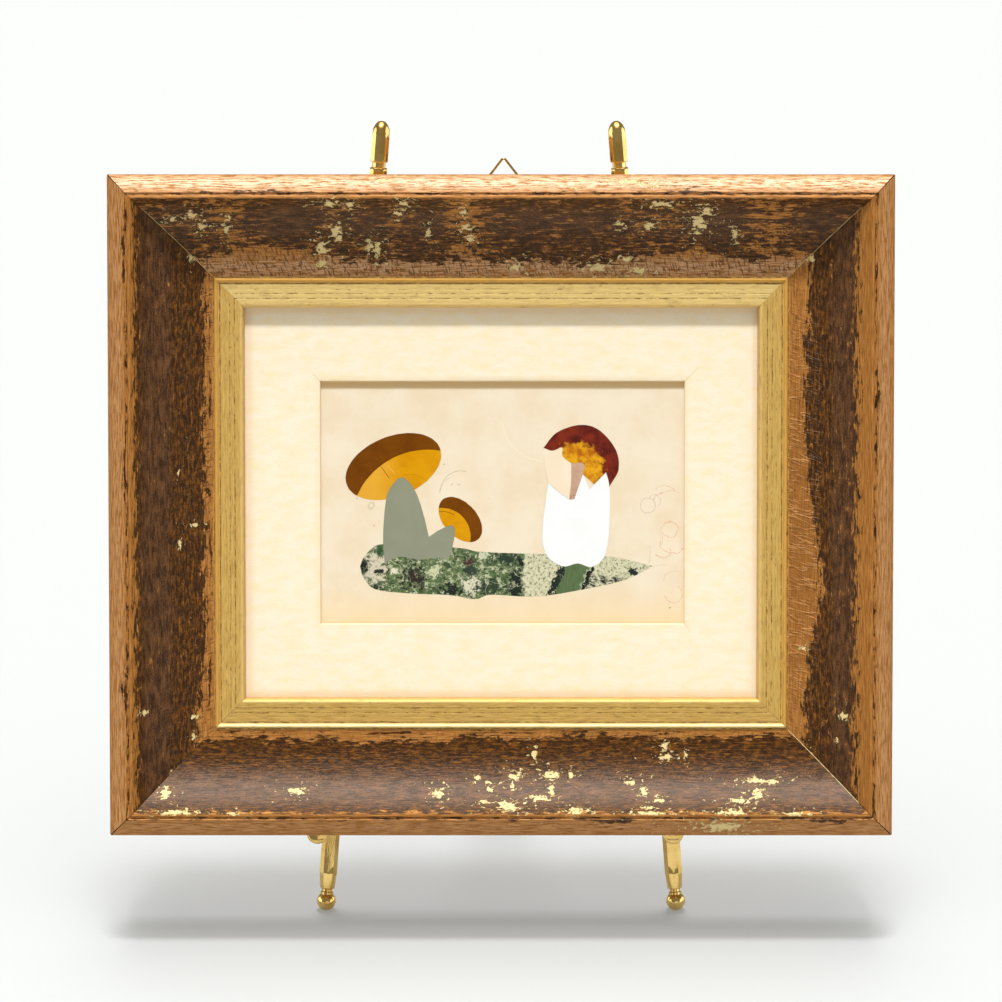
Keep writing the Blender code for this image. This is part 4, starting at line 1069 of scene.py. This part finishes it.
# %%
# Beige stone with its marks
# Each mark: middle (x, z), radius, width, from and to in degrees, waver, colour, strength
MARKS = [(60.0, -1.3, 3.1, 0.16, -180, 180, 0.6, (150, 120, 100), 0.6),
         (69.5, -2.0, 7.2, 0.30, 60, 180, 4.0, (222, 160, 110), 0.6),
         (70.5, -16.0, 5.4, 0.32, -180, -10, 4.0, (224, 160, 106), 0.7),
         (71.2, -33.0, 4.6, 0.16, 60, 180, 1.2, (220, 166, 120), 0.6),
         (-16.8, 4.2, 8.9, 0.16, 80, 182, 0.7, (150, 126, 100), 0.8),
         (17.5, 34.8, 17.7, 0.30, -175, -95, 1.5, (252, 240, 214), 0.8),
         (69.1, -43.7, 0.15, 0.22, -180, 180, 0.0, (40, 36, 34), 1.0),
         (-18.0, 7.4, 0.10, 0.30, -180, 180, 0.0, (150, 124, 96), 0.9),
         (-18.4, 3.4, 7.6, 0.12, 120, 176, 0.8, (176, 150, 120), 0.7),
         (-20.2, 6.9, 0.9, 0.16, 90, 180, 0.3, (160, 134, 106), 0.8),
         (-54.2, -1.4, 1.0, 0.80, -180, 180, 2.4, (206, 184, 154), 0.6),
         (-60.0, 1.6, 0.1, 0.3, -180, 180, 0.0, (150, 130, 110), 0.8),
         (62.8, 0.6, 2.5, 0.16, -60, 150, 1.8, (164, 134, 112), 0.5),
         (67.0, 3.6, 3.6, 0.30, 15, 150, 3.0, (222, 160, 110), 0.5),
         (69.2, -11.0, 3.4, 0.32, -180, 180, 4.0, (226, 164, 116), 0.6),
         (66.4, -20.0, 3.0, 0.30, -150, 20, 3.0, (224, 162, 112), 0.6),
         (41.0, -21.0, 20.0, 0.14, -12, 8, 0.8, (172, 142, 118), 0.7),
         (46.0, -15.5, 20.0, 0.14, -7, 4, 0.8, (176, 146, 122), 0.6),
         (66.0, -41.0, 15.0, 0.14, 84, 112, 0.6, (206, 168, 134), 0.6),
         (70.6, -38.0, 3.6, 0.26, -170, 60, 2.6, (226, 168, 122), 0.6),
         (-53.0, -9.6, 0.2, 0.5, -180, 180, 0.0, (232, 178, 120), 0.7),
         (-24.1, 15.7, 0.1, 0.28, -180, 180, 0.0, (140, 116, 96), 0.8)]
beige, net, shader, flat, colour = stone_finish("beige stone", shade(245, 229, 202), shade(239, 218, 184),
                                                shade(224, 186, 140), 60.0, 0.04, Specular_IOR_Level=0.4)
height_up = split(net, flat)[2]
colour = laid(net, colour, step_at(net, height_up, -0.030, -0.052), 0.7, shade(246, 216, 164))
# Painted shade: a darker, warmer band just under the liner's top edge, where its shadow falls
colour = mixed(net, step_at(net, height_up, 0.0460, 0.0484), colour, shade(230, 196, 142))
recolour(net, shader, marked(net, flat, colour, MARKS))
settle(slab, "stone_slab", beige)

# %% [markdown]
# ## Caps, gills and stems
# Two browns, two ochres and a grey-green. The large gills have a dark crack and some hairlines, and the
# ochre turns more orange towards its rim.

# %%
# Plain stones of the mushrooms
brown, *_ = stone_finish("brown stone", shade(122, 68, 4), shade(108, 56, 0), shade(146, 88, 18), 120.0, 0.03,
                         Specular_IOR_Level=0.12)
settle(stones["large_cap"], "large_cap", brown)
settle(stones["small_cap"], "small_cap", brown)
ochre, net, shader, flat, colour = stone_finish("ochre stone", shade(222, 156, 4), shade(212, 142, 0),
                                                shade(232, 174, 50), 110.0, 0.02, Specular_IOR_Level=0.12)
threads = grain(net, flat, (90, 1, 400), 4, 0.6)
colour = laid(net, colour, step_at(net, threads, 0.56, 0.68), 0.35, shade(206, 128, 24))
colour = laid(net, colour, step_at(net, split(net, flat)[0], -0.040, -0.054), 0.7, shade(236, 176, 62))
# The crack and hairlines of the gills, each as in MARKS
HAIRLINES = [(-81.5, -9.9, 40.0, 0.22, 30, 38, 0.4, (112, 62, 8), 0.95),
             (-74.9, -14.0, 40.0, 0.16, 40, 47, 0.3, (250, 208, 120), 0.7),
             (-38.0, 2.0, 9.6, 0.14, 40, 112, 0.5, (168, 104, 14), 0.8),
             (-50.0, 13.0, 17.2, 0.30, -150, -88, 0.3, (206, 138, 20), 0.7),
             (-25.1, -14.2, 10.4, 0.22, 60, 150, 0.3, (84, 44, 8), 0.8)]
recolour(net, shader, marked(net, flat, colour, HAIRLINES))
settle(stones["large_gills"], "large_gills", ochre)
settle(stones["small_gills"], "small_gills", ochre)
grey, *_ = stone_finish("grey-green stone", shade(148, 150, 126), shade(141, 144, 119),
                        shade(158, 160, 140), 70.0)
settle(stones["twin_stem"], "twin_stem", grey)

# %% [markdown]
# ## The green ground
# Verde marble is pieces of dark green rock in paler calcite. From left to right it is mottled with cream
# and black patches, then a pale speckled band, a solid green block between black seams, and a pale speckled
# tip.

# %%
# Green marble with its patches
# Each patch: middle (x, z), half its width and half its height in millimetres, raggedness, colour
PATCHES = [
    (-52.5, -27.0, 4.4, 6.6, 0.9, (214, 202, 176)), (-57.2, -26.6, 1.9, 2.6, 0.7, (26, 34, 30)),
    (-52.4, -35.2, 1.9, 1.2, 0.7, (26, 34, 30)), (-51.0, -28.8, 1.6, 0.9, 0.7, (34, 42, 34)),
    (-50.5, -20.4, 1.5, 2.2, 0.5, (52, 84, 48)), (-44.6, -28.4, 1.7, 1.2, 0.6, (226, 220, 192)),
    (-36.7, -31.3, 4.6, 3.8, 1.2, (44, 38, 32)), (-28.0, -28.4, 2.8, 2.4, 0.9, (206, 208, 164)),
    (-14.0, -24.9, 2.3, 1.7, 0.7, (72, 50, 44)), (-13.2, -28.3, 2.8, 1.9, 0.4, (52, 62, 50)),
    (-12.3, -34.6, 4.8, 3.2, 0.9, (218, 214, 184)), (-20.4, -36.2, 3.8, 2.2, 1.1, (24, 34, 28)),
    (-5.0, -35.0, 5.0, 2.2, 1.6, (46, 60, 44)), (2.2, -22.8, 5.8, 2.0, 1.3, (40, 56, 44)),
    (-8.0, -22.0, 2.4, 1.6, 0.9, (208, 208, 176)), (5.6, -34.0, 2.9, 6.0, 0.6, (24, 34, 30)),
    (8.8, -25.0, 2.4, 1.5, 0.7, (22, 32, 30)),
]


def patch(tree, flat_map, x, z, half_width, half_height, ragged, rough):
    """Mask of a ragged patch on the picture."""
    moved = put(tree, "ShaderNodeMapping", {
        "Vector": flat_map, "Scale": (1000 / half_width, 0, 1000 / half_height),
        "Location": (-x / half_width, 0, -z / half_height)}).outputs[0]
    reach = put(tree, "ShaderNodeVectorMath", {0: moved}, operation="LENGTH").outputs["Value"]
    return step_at(tree, sum_of(tree, "MULTIPLY_ADD", rough, ragged * 5.5, reach), 1.18, 0.82)


def centred(tree, value):
    """Noise moved down, so that its middle is 0."""
    return sum_of(tree, "SUBTRACT", value, 0.5)


marble, net, shader, flat, colour = stone_finish("green marble", shade(108, 128, 80), shade(62, 80, 50),
                                                 shade(196, 196, 150), 420.0, 0.06)
blots = grain(net, flat, (430, 1, 520), 6, 0.66, (8, 0, 3))
rough = centred(net, grain(net, flat, (520, 1, 520), 5, 0.65, (1, 0, 4)))
pale_spots = grain(net, flat, (400, 1, 470), 6, 0.66, (2, 0, 6))
colour = laid(net, colour, step_at(net, pale_spots, 0.53, 0.60), 0.8, shade(204, 206, 168))
colour = laid(net, colour, step_at(net, blots, 0.55, 0.61), 0.85, shade(34, 46, 36))
for x, z, half_width, half_height, ragged, tint in PATCHES:
    colour = mixed(net, patch(net, flat, x, z, half_width, half_height, ragged, rough), colour, shade(*tint))
vein = sum_of(net, "ABSOLUTE", centred(net, grain(net, flat, (110, 1, 150), 3, 0.5, (9, 0, 9), 0.6)))
colour = laid(net, colour, step_at(net, vein, 0.016, 0.004), 0.55, shade(204, 206, 168))
fine = grain(net, flat, (760, 1, 760), 5, 0.65, (3, 0, 3))
colour = laid(net, colour, step_at(net, fine, 0.52, 0.64), 0.55, shade(50, 60, 40))
colour = laid(net, colour, step_at(net, fine, 0.44, 0.34), 0.40, shade(200, 194, 150))
print("patches", len(PATCHES))

# %%
# Pale band, green block between its seams, and the tip


def band(tree, value, start, full, fading, gone):
    """Mask that is 1 between two places, with soft edges."""
    return sum_of(tree, "SUBTRACT", step_at(tree, value, start, full), step_at(tree, value, fading, gone))


parts = split(net, flat)
rough_edge = sum_of(net, "MULTIPLY", centred(net, grain(net, flat, (420, 1, 420), 5, 0.6)), 0.007)
across = sum_of(net, "ADD", parts[0], rough_edge)
slanted = sum_of(net, "MULTIPLY_ADD", sum_of(net, "ADD", parts[2], 0.033), -0.42, across)
pepper = step_at(net, grain(net, flat, (900, 1, 900), 4, 0.68), 0.53, 0.59)
beige_clouds = mixed(net, step_at(net, blots, 0.46, 0.60), shade(218, 213, 178), shade(200, 194, 156))
peppered = laid(net, beige_clouds, pepper, 0.75, shade(84, 88, 62))
colour = mixed(net, step_at(net, across, 0.0086, 0.0092), colour, peppered)
seam = band(net, slanted, 0.0206, 0.0212, 0.0236, 0.0244)
colour = laid(net, colour, seam, step_at(net, blots, 0.36, 0.44), shade(30, 42, 34))
striped = mixed(net, grain(net, flat, (1100, 1, 240), 4, 0.6), shade(48, 68, 34), shade(116, 138, 92))
colour = mixed(net, band(net, slanted, 0.0236, 0.0240, 0.0330, 0.0334), colour, striped)
colour = laid(net, colour, band(net, slanted, 0.0326, 0.0329, 0.0331, 0.0334), 0.7, shade(176, 190, 150))
seam = band(net, slanted, 0.0333, 0.0336, 0.0350, 0.0358)
colour = laid(net, colour, seam, step_at(net, blots, 0.34, 0.42), shade(22, 30, 26))
low = step_at(net, sum_of(net, "MULTIPLY_ADD", parts[0], 0.10, parts[2]), -0.0254, -0.0270)
tip = sum_of(net, "MULTIPLY", step_at(net, slanted, 0.0345, 0.0352), step_at(net, across, 0.0520, 0.0480))
torn = step_at(net, grain(net, flat, (420, 1, 900), 6, 0.75, (5, 0, 1)), 0.46, 0.54)
colour = laid(net, colour, sum_of(net, "MULTIPLY", low, tip), torn, shade(30, 42, 38))
colour = mixed(net, patch(net, flat, 54.1, -28.9, 1.9, 1.3, 1.0, rough), colour, shade(34, 44, 40))
recolour(net, shader, colour)
settle(stones["ground"], "ground", marble)

# %% [markdown]
# ## The young mushroom
# The cap is red jasper with an ochre heart that has a ragged edge. The broken cup round it is plain white,
# the veil is nearly the colour of the slab, and the little stalk is pinkish with dots at its foot.

# %%
# Red, white, pale and pink stones
red, net, shader, flat, colour = stone_finish("red stone", shade(128, 40, 16), shade(76, 14, 8),
                                              shade(150, 110, 96), 200.0, -0.02)
apart = put(net, "ShaderNodeVectorMath", {0: flat, 1: (0.0305, 0, 0.0140)}, operation="SUBTRACT").outputs[0]
apart = put(net, "ShaderNodeMapping", {"Vector": apart, "Scale": (1.0, 0.0, 1.06)}).outputs[0]
distance = put(net, "ShaderNodeVectorMath", {0: apart}, operation="LENGTH").outputs["Value"]
ragged = sum_of(net, "MULTIPLY", centred(net, grain(net, flat, (420, 1, 420), 4, 0.6)), 0.010)
heart = step_at(net, sum_of(net, "ADD", distance, ragged), 0.0124, 0.0098)
amber_clouds = step_at(net, grain(net, flat, (260, 1, 260), 5, 0.65), 0.38, 0.66)
amber_heart = mixed(net, amber_clouds, shade(232, 166, 22), shade(180, 96, 0))
recolour(net, shader, mixed(net, heart, colour, amber_heart))
settle(stones["red_cap"], "red_cap", red)
white, *_ = stone_finish("white stone", shade(250, 250, 248), shade(246, 246, 243), shade(242, 240, 234),
                         80.0)
settle(stones["white_cup"], "white_cup", white)
pale, *_ = stone_finish("pale stone", shade(250, 232, 206), shade(246, 224, 192), shade(240, 208, 170), 80.0)
settle(stones["pale_veil"], "pale_veil", pale)
pink, net, shader, flat, colour = stone_finish("pink stone", shade(206, 168, 140), shade(192, 150, 122),
                                               shade(150, 104, 66), 160.0, 0.02)
low = step_at(net, split(net, flat)[2], 0.0045, 0.0020)
dots = sum_of(net, "MULTIPLY", low, step_at(net, grain(net, flat, (1500, 1, 1500), 2, 0.5), 0.45, 0.60))
recolour(net, shader, mixed(net, dots, colour, shade(120, 92, 60)))
settle(stones["young_stalk"], "young_stalk", pink)

# %% [markdown]
# ## Polished brass
# The easel is turned and filed from brass bar and polished, with a little tarnish in soft clouds and fine
# draw marks. The clouds change colour and gloss only slightly, so that the metal still mirrors the white
# studio.

# %%
# Brass for the easel and for the hanger


def brass_finish(name, light, dark, low, high):
    """Polished brass with a little tarnish."""
    material, tree, shader = finish(name, Metallic=1.0)
    place = put(tree, "ShaderNodeTexCoord").outputs["Object"]
    tarnish = grain(tree, place, (120, 120, 120), 5, 0.6)
    marks = grain(tree, place, (2500, 2500, 300), 2, 0.5)
    dress(tree, shader, mixed(tree, step_at(tree, tarnish, 0.35, 0.70), light, dark),
          step_at(tree, tarnish, low, high), marks, 0.000004)
    return material


easel_brass = brass_finish("polished brass", shade(236, 204, 130), shade(214, 174, 96), 0.25, 2.6)
hanger_brass = brass_finish("satin brass", shade(214, 176, 96), shade(180, 138, 66), -0.1, 1.6)
print("brass", easel_brass.name, "and", hanger_brass.name)

# %% [markdown]
# ## Front legs
# Each front leg is one chamfered bar with a turned ball foot and a domed finial. A level section of it is a
# circle cut by four flats and four chamfers. Where the circle gets smaller than the flats are wide, the
# flat runs out in a pointed arch, which is how a turned end on a square bar looks.

# %%
# Sections of a leg
LEG, CHAMFER, FOOT = 0.0072, 0.0016, 0.004
COLLAR, NECK, FINIAL_NECK = 0.0027, 0.0022, 0.0029
ANKLE, ANKLE_BAR, ANKLE_LONG = 0.0031, 0.0062, 0.0066
CORNER = math.hypot(LEG / 2, LEG / 2 - CHAMFER)
EDGE = math.atan2(LEG / 2 - CHAMFER, LEG / 2)
BETWEEN = math.pi / 2 - 2 * EDGE
TURNS = [quarter * math.pi / 2 + share for quarter in range(4)
         for share in (0, EDGE / 2, EDGE, EDGE + BETWEEN / 3, EDGE + BETWEEN * 2 / 3, math.pi / 2 - EDGE,
                       math.pi / 2 - EDGE / 2)]


def level(radius, rise, bar=None):
    """One section: a circle, or a circle cut to the bar."""
    ring = []
    for turn in TURNS:
        across, along = abs(math.cos(turn)), abs(math.sin(turn))
        reach = radius
        if bar:
            reach = min(radius, bar / 2 / max(across, along), (bar - CHAMFER) / (across + along))
        ring.append((reach * math.cos(turn), reach * math.sin(turn), rise))
    return ring


def rounded(radius_from, radius_to, rise_from, rise_to, bar, steps=7):
    """Sections of a quarter-round shoulder or dome."""
    sections = []
    for turn in spread(0, math.pi / 2, steps):
        if radius_to > radius_from:
            radius = radius_from + (radius_to - radius_from) * math.sin(turn)
            rise = rise_from + (rise_to - rise_from) * (1 - math.cos(turn))
        else:
            radius = radius_to + (radius_from - radius_to) * math.cos(turn)
            rise = rise_from + (rise_to - rise_from) * math.sin(turn)
        sections.append(level(radius, rise, bar))
    return sections


def foot_and_bar(bar_end):
    """Ball foot, collar, neck and the bar with its narrower ankle."""
    shoulder = math.acos(COLLAR / FOOT)
    ball = [level(FOOT * math.cos(turn), FOOT * math.sin(turn))
            for turn in spread(-math.pi / 2, shoulder, 26)]
    top = FOOT * math.sin(shoulder)
    collar = [level(COLLAR, top + 0.0002), level(COLLAR, top + 0.0008), level(0.0025, top + 0.0011),
              level(NECK, top + 0.0012), level(NECK, top + 0.0021)]
    start = top + 0.0026
    bar = [level(0.0026, start - 0.0004, ANKLE_BAR), level(ANKLE, start, ANKLE_BAR)]
    for share in spread(0, 1, 10):
        bar.append(level(ANKLE + (CORNER - ANKLE) * share, start + ANKLE_LONG * share,
                         ANKLE_BAR + (LEG - ANKLE_BAR) * share))
    bar += [level(CORNER, rise, LEG) for rise in spread(start + ANKLE_LONG, bar_end, 24)]
    return [level(0.0004, -FOOT)] + ball + collar + bar


def filed(piece):
    """File the small flat that a ball foot stands on."""
    edit(lambda: bpy.ops.mesh.bisect(plane_co=(0, 0, 0.000002), plane_no=(0, 0, 1), clear_inner=True,
                                     use_fill=True, threshold=0.000001),
         face_out)


print("points round a leg", len(TURNS))

# %%
# Both front legs
# Half the distance of the feet, height of the tips over them and half their distance, and height of the domes
FEET_OUT, TIP_UP = 0.07285, 0.3253
TIPS_OUT = {"left": 0.0491, "right": 0.0474}
SIGNS = {"left": -1, "right": 1}
LEG_UP, FINIAL, DOME = 0.3251, 0.0192, 0.0075


def leaning(side):
    """Angle by which a front leg leans towards the other one."""
    return math.atan((FEET_OUT - TIPS_OUT[side]) / TIP_UP)


def front_leg(side):
    """A front leg from its foot to its finial."""
    length = LEG_UP / math.cos(leaning(side))
    neck = length - FINIAL
    rings = foot_and_bar(neck - CHAMFER)
    rings += rounded(CORNER, FINIAL_NECK, neck - CHAMFER, neck, LEG)
    rings += [level(FINIAL_NECK, neck + 0.0001), level(FINIAL_NECK, neck + 0.0019)]
    rings += rounded(FINIAL_NECK, CORNER, neck + 0.0020, neck + 0.0026, LEG, 5)
    rings += [level(CORNER, rise, LEG) for rise in spread(neck + 0.0026, length - DOME, 4)]
    rings += rounded(CORNER, 0.0003, length - DOME, length, LEG, 22)
    place = (EASEL @ Matrix.Translation((SIGNS[side] * FEET_OUT, 0, 0))
             @ Matrix.Rotation(-SIGNS[side] * leaning(side), 4, "Y"))
    leg = wrapped(f"front_leg_{side}", rings, place, angle=28)
    filed(leg)
    smooth(28)
    settle(leg, f"easel_leg_{side}", easel_brass)


for side in SIGNS:
    front_leg(side)

# %% [markdown]
# ## Rear leg
# The folding leg has the same foot and bar, a flat tongue with an eye for the pin, and a small heel that
# rests on the upper bar when the leg is open. The parts are separate blanks that are joined, and the pin's
# hole is cut.

# %%
# Rear leg with its tongue, heel and eye
PIVOT = EASEL @ Matrix.Translation((0, 0.0082, 0.2315))
SPREAD = Matrix.Translation(PIVOT.translation) @ Matrix.Rotation(math.radians(18.046), 4, "X")
REAR_LENGTH, EYE, PIN_HOLE, TONGUE = 0.23295, 0.0042, 0.0018, 0.0025


def plate(name, outline, half, place):
    """An outline in (back, up) extruded to both sides of the middle."""
    piece = extruded(name, [(-half, back, up) for back, up in outline], (2 * half, 0, 0))
    piece.data.transform(place)
    return piece


def arc(radius, end, steps):
    """Points of an arc round the pin, from the back of it."""
    return [(radius * math.cos(turn), radius * math.sin(turn)) for turn in spread(0, end, steps)]


rear = wrapped("rear_leg", [[(x, y, z - REAR_LENGTH) for x, y, z in ring]
                            for ring in foot_and_bar(REAR_LENGTH - 0.0108)], SPREAD, angle=28)
eye = [(EYE, 0.0)] + arc(EYE, math.pi, 24)
parts = [plate("tongue", eye + [(-0.0020, -0.0150), (0.0020, -0.0150)], TONGUE, SPREAD),
         plate("heel", [(-0.0061, 0.0004), (0.0, -0.0017), (0.0, 0.0044), (-0.0061, 0.0044)], TONGUE, PIVOT)]
for piece in parts:
    cut(rear, piece, "UNION")
parts.append(plate("eye_hole", arc(PIN_HOLE, 2 * math.pi, 32), 0.01, PIVOT))
cut(rear, parts[-1])
for piece in parts:
    bpy.data.objects.remove(piece)
deselect()
rear.select_set(True)
filed(rear)
smooth(35)
settle(rear, "easel_rear_leg", easel_brass, "rear_leg")

# %% [markdown]
# ## Hooks under the frame
# Two short arms reach forward under the bottom rail and end in round heads, so that the panel can't slide
# off. Their edges are turned slightly round, which gives the bright rim that shows under the frame.

# %%
# Hooks with turned heads
# Height and length of a hook, radius of its arm and head, and how far each head stands aside
HOOK_UP, HOOK_LONG, ARM, HEAD, EASED = 0.0320, 0.0218, 0.0028, 0.0035, 0.0010
ASIDE = {"left": 0.0053, "right": 0.0007}


def hook(side):
    """An arm with a round head set to one side."""
    middle = SIGNS[side] * (FEET_OUT - math.tan(leaning(side)) * HOOK_UP)
    profile = [(0.0, 0.0033), (0.0002, HEAD), (0.0018, HEAD), (0.0020, 0.0033), (0.0021, ARM)]
    profile += [(along, ARM) for along in spread(0.0021, HOOK_LONG - 0.0051, 8)]
    profile += [(HOOK_LONG - 0.0050, 0.0030)]
    turns = [0.0] + spread(0, math.pi / 2, 5)
    profile += [(HOOK_LONG - 0.0040 - EASED * math.cos(turn), HEAD + EASED * math.sin(turn))
                for turn in turns]
    profile += [(HOOK_LONG - EASED + EASED * math.sin(turn), HEAD + EASED * math.cos(turn))
                for turn in turns]
    profile += [(HOOK_LONG, EASED)]
    rings = []
    for along, radius in profile:
        share = within((along - 0.0020) / (HOOK_LONG - 0.0070))
        centre = middle + SIGNS[side] * ASIDE[side] * share
        rings.append([(centre + radius * math.cos(turn), -0.0039 - along, HOOK_UP + radius * math.sin(turn))
                      for turn in spread(0, 2 * math.pi, 40)])
    piece = wrapped(f"hook_{side}", rings, EASEL, angle=40)
    settle(piece, f"easel_hook_{side}", easel_brass)


for side in SIGNS:
    hook(side)

# %% [markdown]
# ## Crossbars, pin and strap
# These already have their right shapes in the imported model, but with knife-sharp edges. A copy of each is
# merged, its flat faces are joined again, and its edges are broken with a small bevel, as a file would do.

# %%
# Break the edges of the plain metal parts


def packed_copy(name, node, *more):
    """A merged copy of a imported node, as a piece of its own."""
    deselect()
    piece = bpy.data.objects.new(name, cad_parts[node].data.copy())
    bpy.context.collection.objects.link(piece)
    piece.select_set(True)
    bpy.context.view_layer.objects.active = piece
    edit(lambda: bpy.ops.mesh.remove_doubles(threshold=0.00001), *more, face_out)
    return piece


def eased(name, node, width, metal):
    """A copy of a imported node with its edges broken."""
    piece = packed_copy(name, node, lambda: bpy.ops.mesh.dissolve_limited(angle_limit=math.radians(1)))
    modified(piece, "BEVEL", width=width, segments=2, limit_method="ANGLE", angle_limit=math.radians(50),
             harden_normals=False)
    smooth(40)
    settle(piece, node, metal)


eased("upper_crossbar", "easel_upper_bar", 0.0004, easel_brass)
eased("lower_crossbar", "easel_lower_bar", 0.0005, easel_brass)
eased("hinge_pin", "pivot_pin", 0.0002, easel_brass)
eased("folded_strap", "hanger_strap", 0.0001, hanger_brass)

# %% [markdown]
# ## Hanging ring and screw
# The ring is one bent wire that stands up behind the frame. The strap's screw has a domed, slotted head.

# %%
# Bent wire ring
RING_AXIS = Vector((0.0011, 0.0166, 0.29203))
RING_HALF, RING_SLOPE, BEND, WIRE = 0.0095, math.radians(38), 0.001, 0.0005


def ring_line():
    """Middle line of the ring, a triangle with round corners, with the way out at each point."""
    local = PANEL.inverted() @ RING_AXIS
    peak = RING_HALF / math.tan(RING_SLOPE)
    corners = [Vector((-RING_HALF, 0)), Vector((RING_HALF, 0)), Vector((0, peak))]
    line = []
    for before, corner, after in zip(corners[-1:] + corners, corners, corners[1:] + corners):
        arriving, leaving = (corner - before).normalized(), (after - corner).normalized()
        bend = math.acos(arriving.dot(leaving))
        outwards = Vector((arriving.y, -arriving.x))
        middle = corner - arriving * BEND * math.tan(bend / 2) - outwards * BEND
        first = math.atan2(outwards.y, outwards.x)
        for step in range(13):
            turn = first + bend * step / 12
            line.append((local + Vector((middle.x + BEND * math.cos(turn), 0,
                                         middle.y + BEND * math.sin(turn))), turn))
    return line


rings = [[middle + WIRE * Vector((math.cos(side) * math.cos(turn), math.sin(side),
                                  math.cos(side) * math.sin(turn))) for side in spread(0, 2 * math.pi, 16)]
         for middle, turn in ring_line()]
ring = wrapped("wire_ring", rings, PANEL, looped=True, angle=60)
settle(ring, "hanger_ring", hanger_brass, "ring")

# %%
# Slotted screw
SCREW_PLACE = Matrix.Translation((0.0011, 0.01288, 0.27698)) @ TILT
SLOT_TURN, SLOT_SIZE = 0.5, (0.009, 0.0018, 0.0009)
screw = packed_copy("strap_screw", "hanger_screw")
deselect()
bpy.ops.mesh.primitive_cube_add(size=1)
blade = bpy.context.object
blade.data.transform(SCREW_PLACE @ Matrix.Translation((0, 0.0022, 0)) @ Matrix.Rotation(SLOT_TURN, 4, "Y")
                     @ Matrix.Diagonal((*SLOT_SIZE, 1)))
cut(screw, blade)
bpy.data.objects.remove(blade)
smooth(40)
settle(screw, "hanger_screw", hanger_brass)

# %% [markdown]
# ## The back
# The back isn't in the photograph, so it is finished in the usual plain way: a thin brown fibre board held
# in the rebate by small brads. The board is a cube whose front edges are bevelled and whose face has a
# pressed texture.

# %%
# Backing board
BOARD_FRONT, BOARD_SIZE = 0.0289, (0.2212, 0.0025, 0.1716)
board, net, shader = finish("fibre board", Specular_IOR_Level=0.2)
flat = picture_map(net)
fibres = grain(net, flat, (700, 1, 700), 6, 0.7)
stains = grain(net, flat, (25, 1, 25), 5, 0.6, (4, 0, 2))
tone = mixed(net, step_at(net, fibres, 0.35, 0.65), shade(150, 116, 76), shade(118, 86, 54))
tone = laid(net, tone, step_at(net, stains, 0.50, 0.66), 0.4, shade(100, 72, 46))
dress(net, shader, tone, step_at(net, fibres, -2.4, 1.2), fibres, 0.0001)
deselect()
bpy.ops.mesh.primitive_cube_add(size=1)
back = bpy.context.object
back.name = back.data.name = "fibre_board"
back.data.transform(Matrix.Translation((0, BOARD_FRONT + BOARD_SIZE[1] / 2 - DEPTH, 0))
                    @ Matrix.Diagonal((*BOARD_SIZE, 1)))
modified(back, "BEVEL", width=0.0004, segments=2)
back.data.transform(PANEL)
settle(back, "backing_board", board)

# %%
# Brads that hold the board
BRAD_X, BRAD_Z = 0.1086, 0.0838
# Each brad: its place in the panel across and up, and the way its point turns
BRADS = [(-0.07, BRAD_Z, 0), (0.0, BRAD_Z, 0), (0.07, BRAD_Z, 0), (-0.07, -BRAD_Z, 180), (0.0, -BRAD_Z, 180),
         (0.07, -BRAD_Z, 180), (-BRAD_X, 0.0, 90), (BRAD_X, 0.0, -90)]
brad_steel, net, shader = finish("brad steel", Metallic=1.0)
place = put(net, "ShaderNodeTexCoord").outputs["Object"]
rust = grain(net, place, (900, 900, 900), 4, 0.6)
dress(net, shader, mixed(net, step_at(net, rust, 0.50, 0.62), shade(176, 174, 170), shade(112, 84, 62)),
      step_at(net, rust, -0.6, 1.4), rust, 0.00002)
for number, (x, z, turn) in enumerate(BRADS, 1):
    deselect()
    bpy.ops.mesh.primitive_cone_add(vertices=12, radius1=0.0005, radius2=0.0007, depth=0.007)
    brad = bpy.context.object
    brad.data.transform(PANEL @ Matrix.Translation((x, -0.0026, z))
                        @ Matrix.Rotation(math.radians(turn), 4, "Y")
                        @ Matrix.Rotation(math.radians(8), 4, "X"))
    brad.name = brad.data.name = f"brad_{number}"
    modified(brad, "BEVEL", width=0.00015, segments=2)
    smooth(40)
    settle(brad, None, brad_steel)

# %% [markdown]
# ## Light for the brass
# Polished metal shows what is round it. Two wide lamps stand for softboxes at the sides, which the chamfers
# and the round ends mirror. A low softbox in front is mirrored by the lower bars, while the flats of the
# finials stay dark. All three light the brass alone.

# %%
# Lamps at the sides and in front for the brass
brass_pieces = [piece for piece in bpy.data.objects if piece.type == "MESH" and piece.data.materials
                and piece.data.materials[0] in (easel_brass, hanger_brass)]
lamp("left brass lamp", 1.6, 70, (1.0, 0.05, 0.02), brass_pieces)
lamp("right brass lamp", 2.2, 84, (-1.0, 0.05, 0.16), brass_pieces)
front_lamp = lamp("front brass lamp", 0.38, 0, (0.0, 1.0, 0.0), brass_pieces, kind="AREA")
front_lamp.location = (0.25, -1.2, 0.19)
front_lamp.data.shape = "RECTANGLE"
front_lamp.data.size, front_lamp.data.size_y = 0.7, 0.26
print("brass pieces", len(brass_pieces))

# %% [markdown]
# ## The end
# The finished model has to stay inside the box of the imported one.

# %%
# Close
print("model finished")
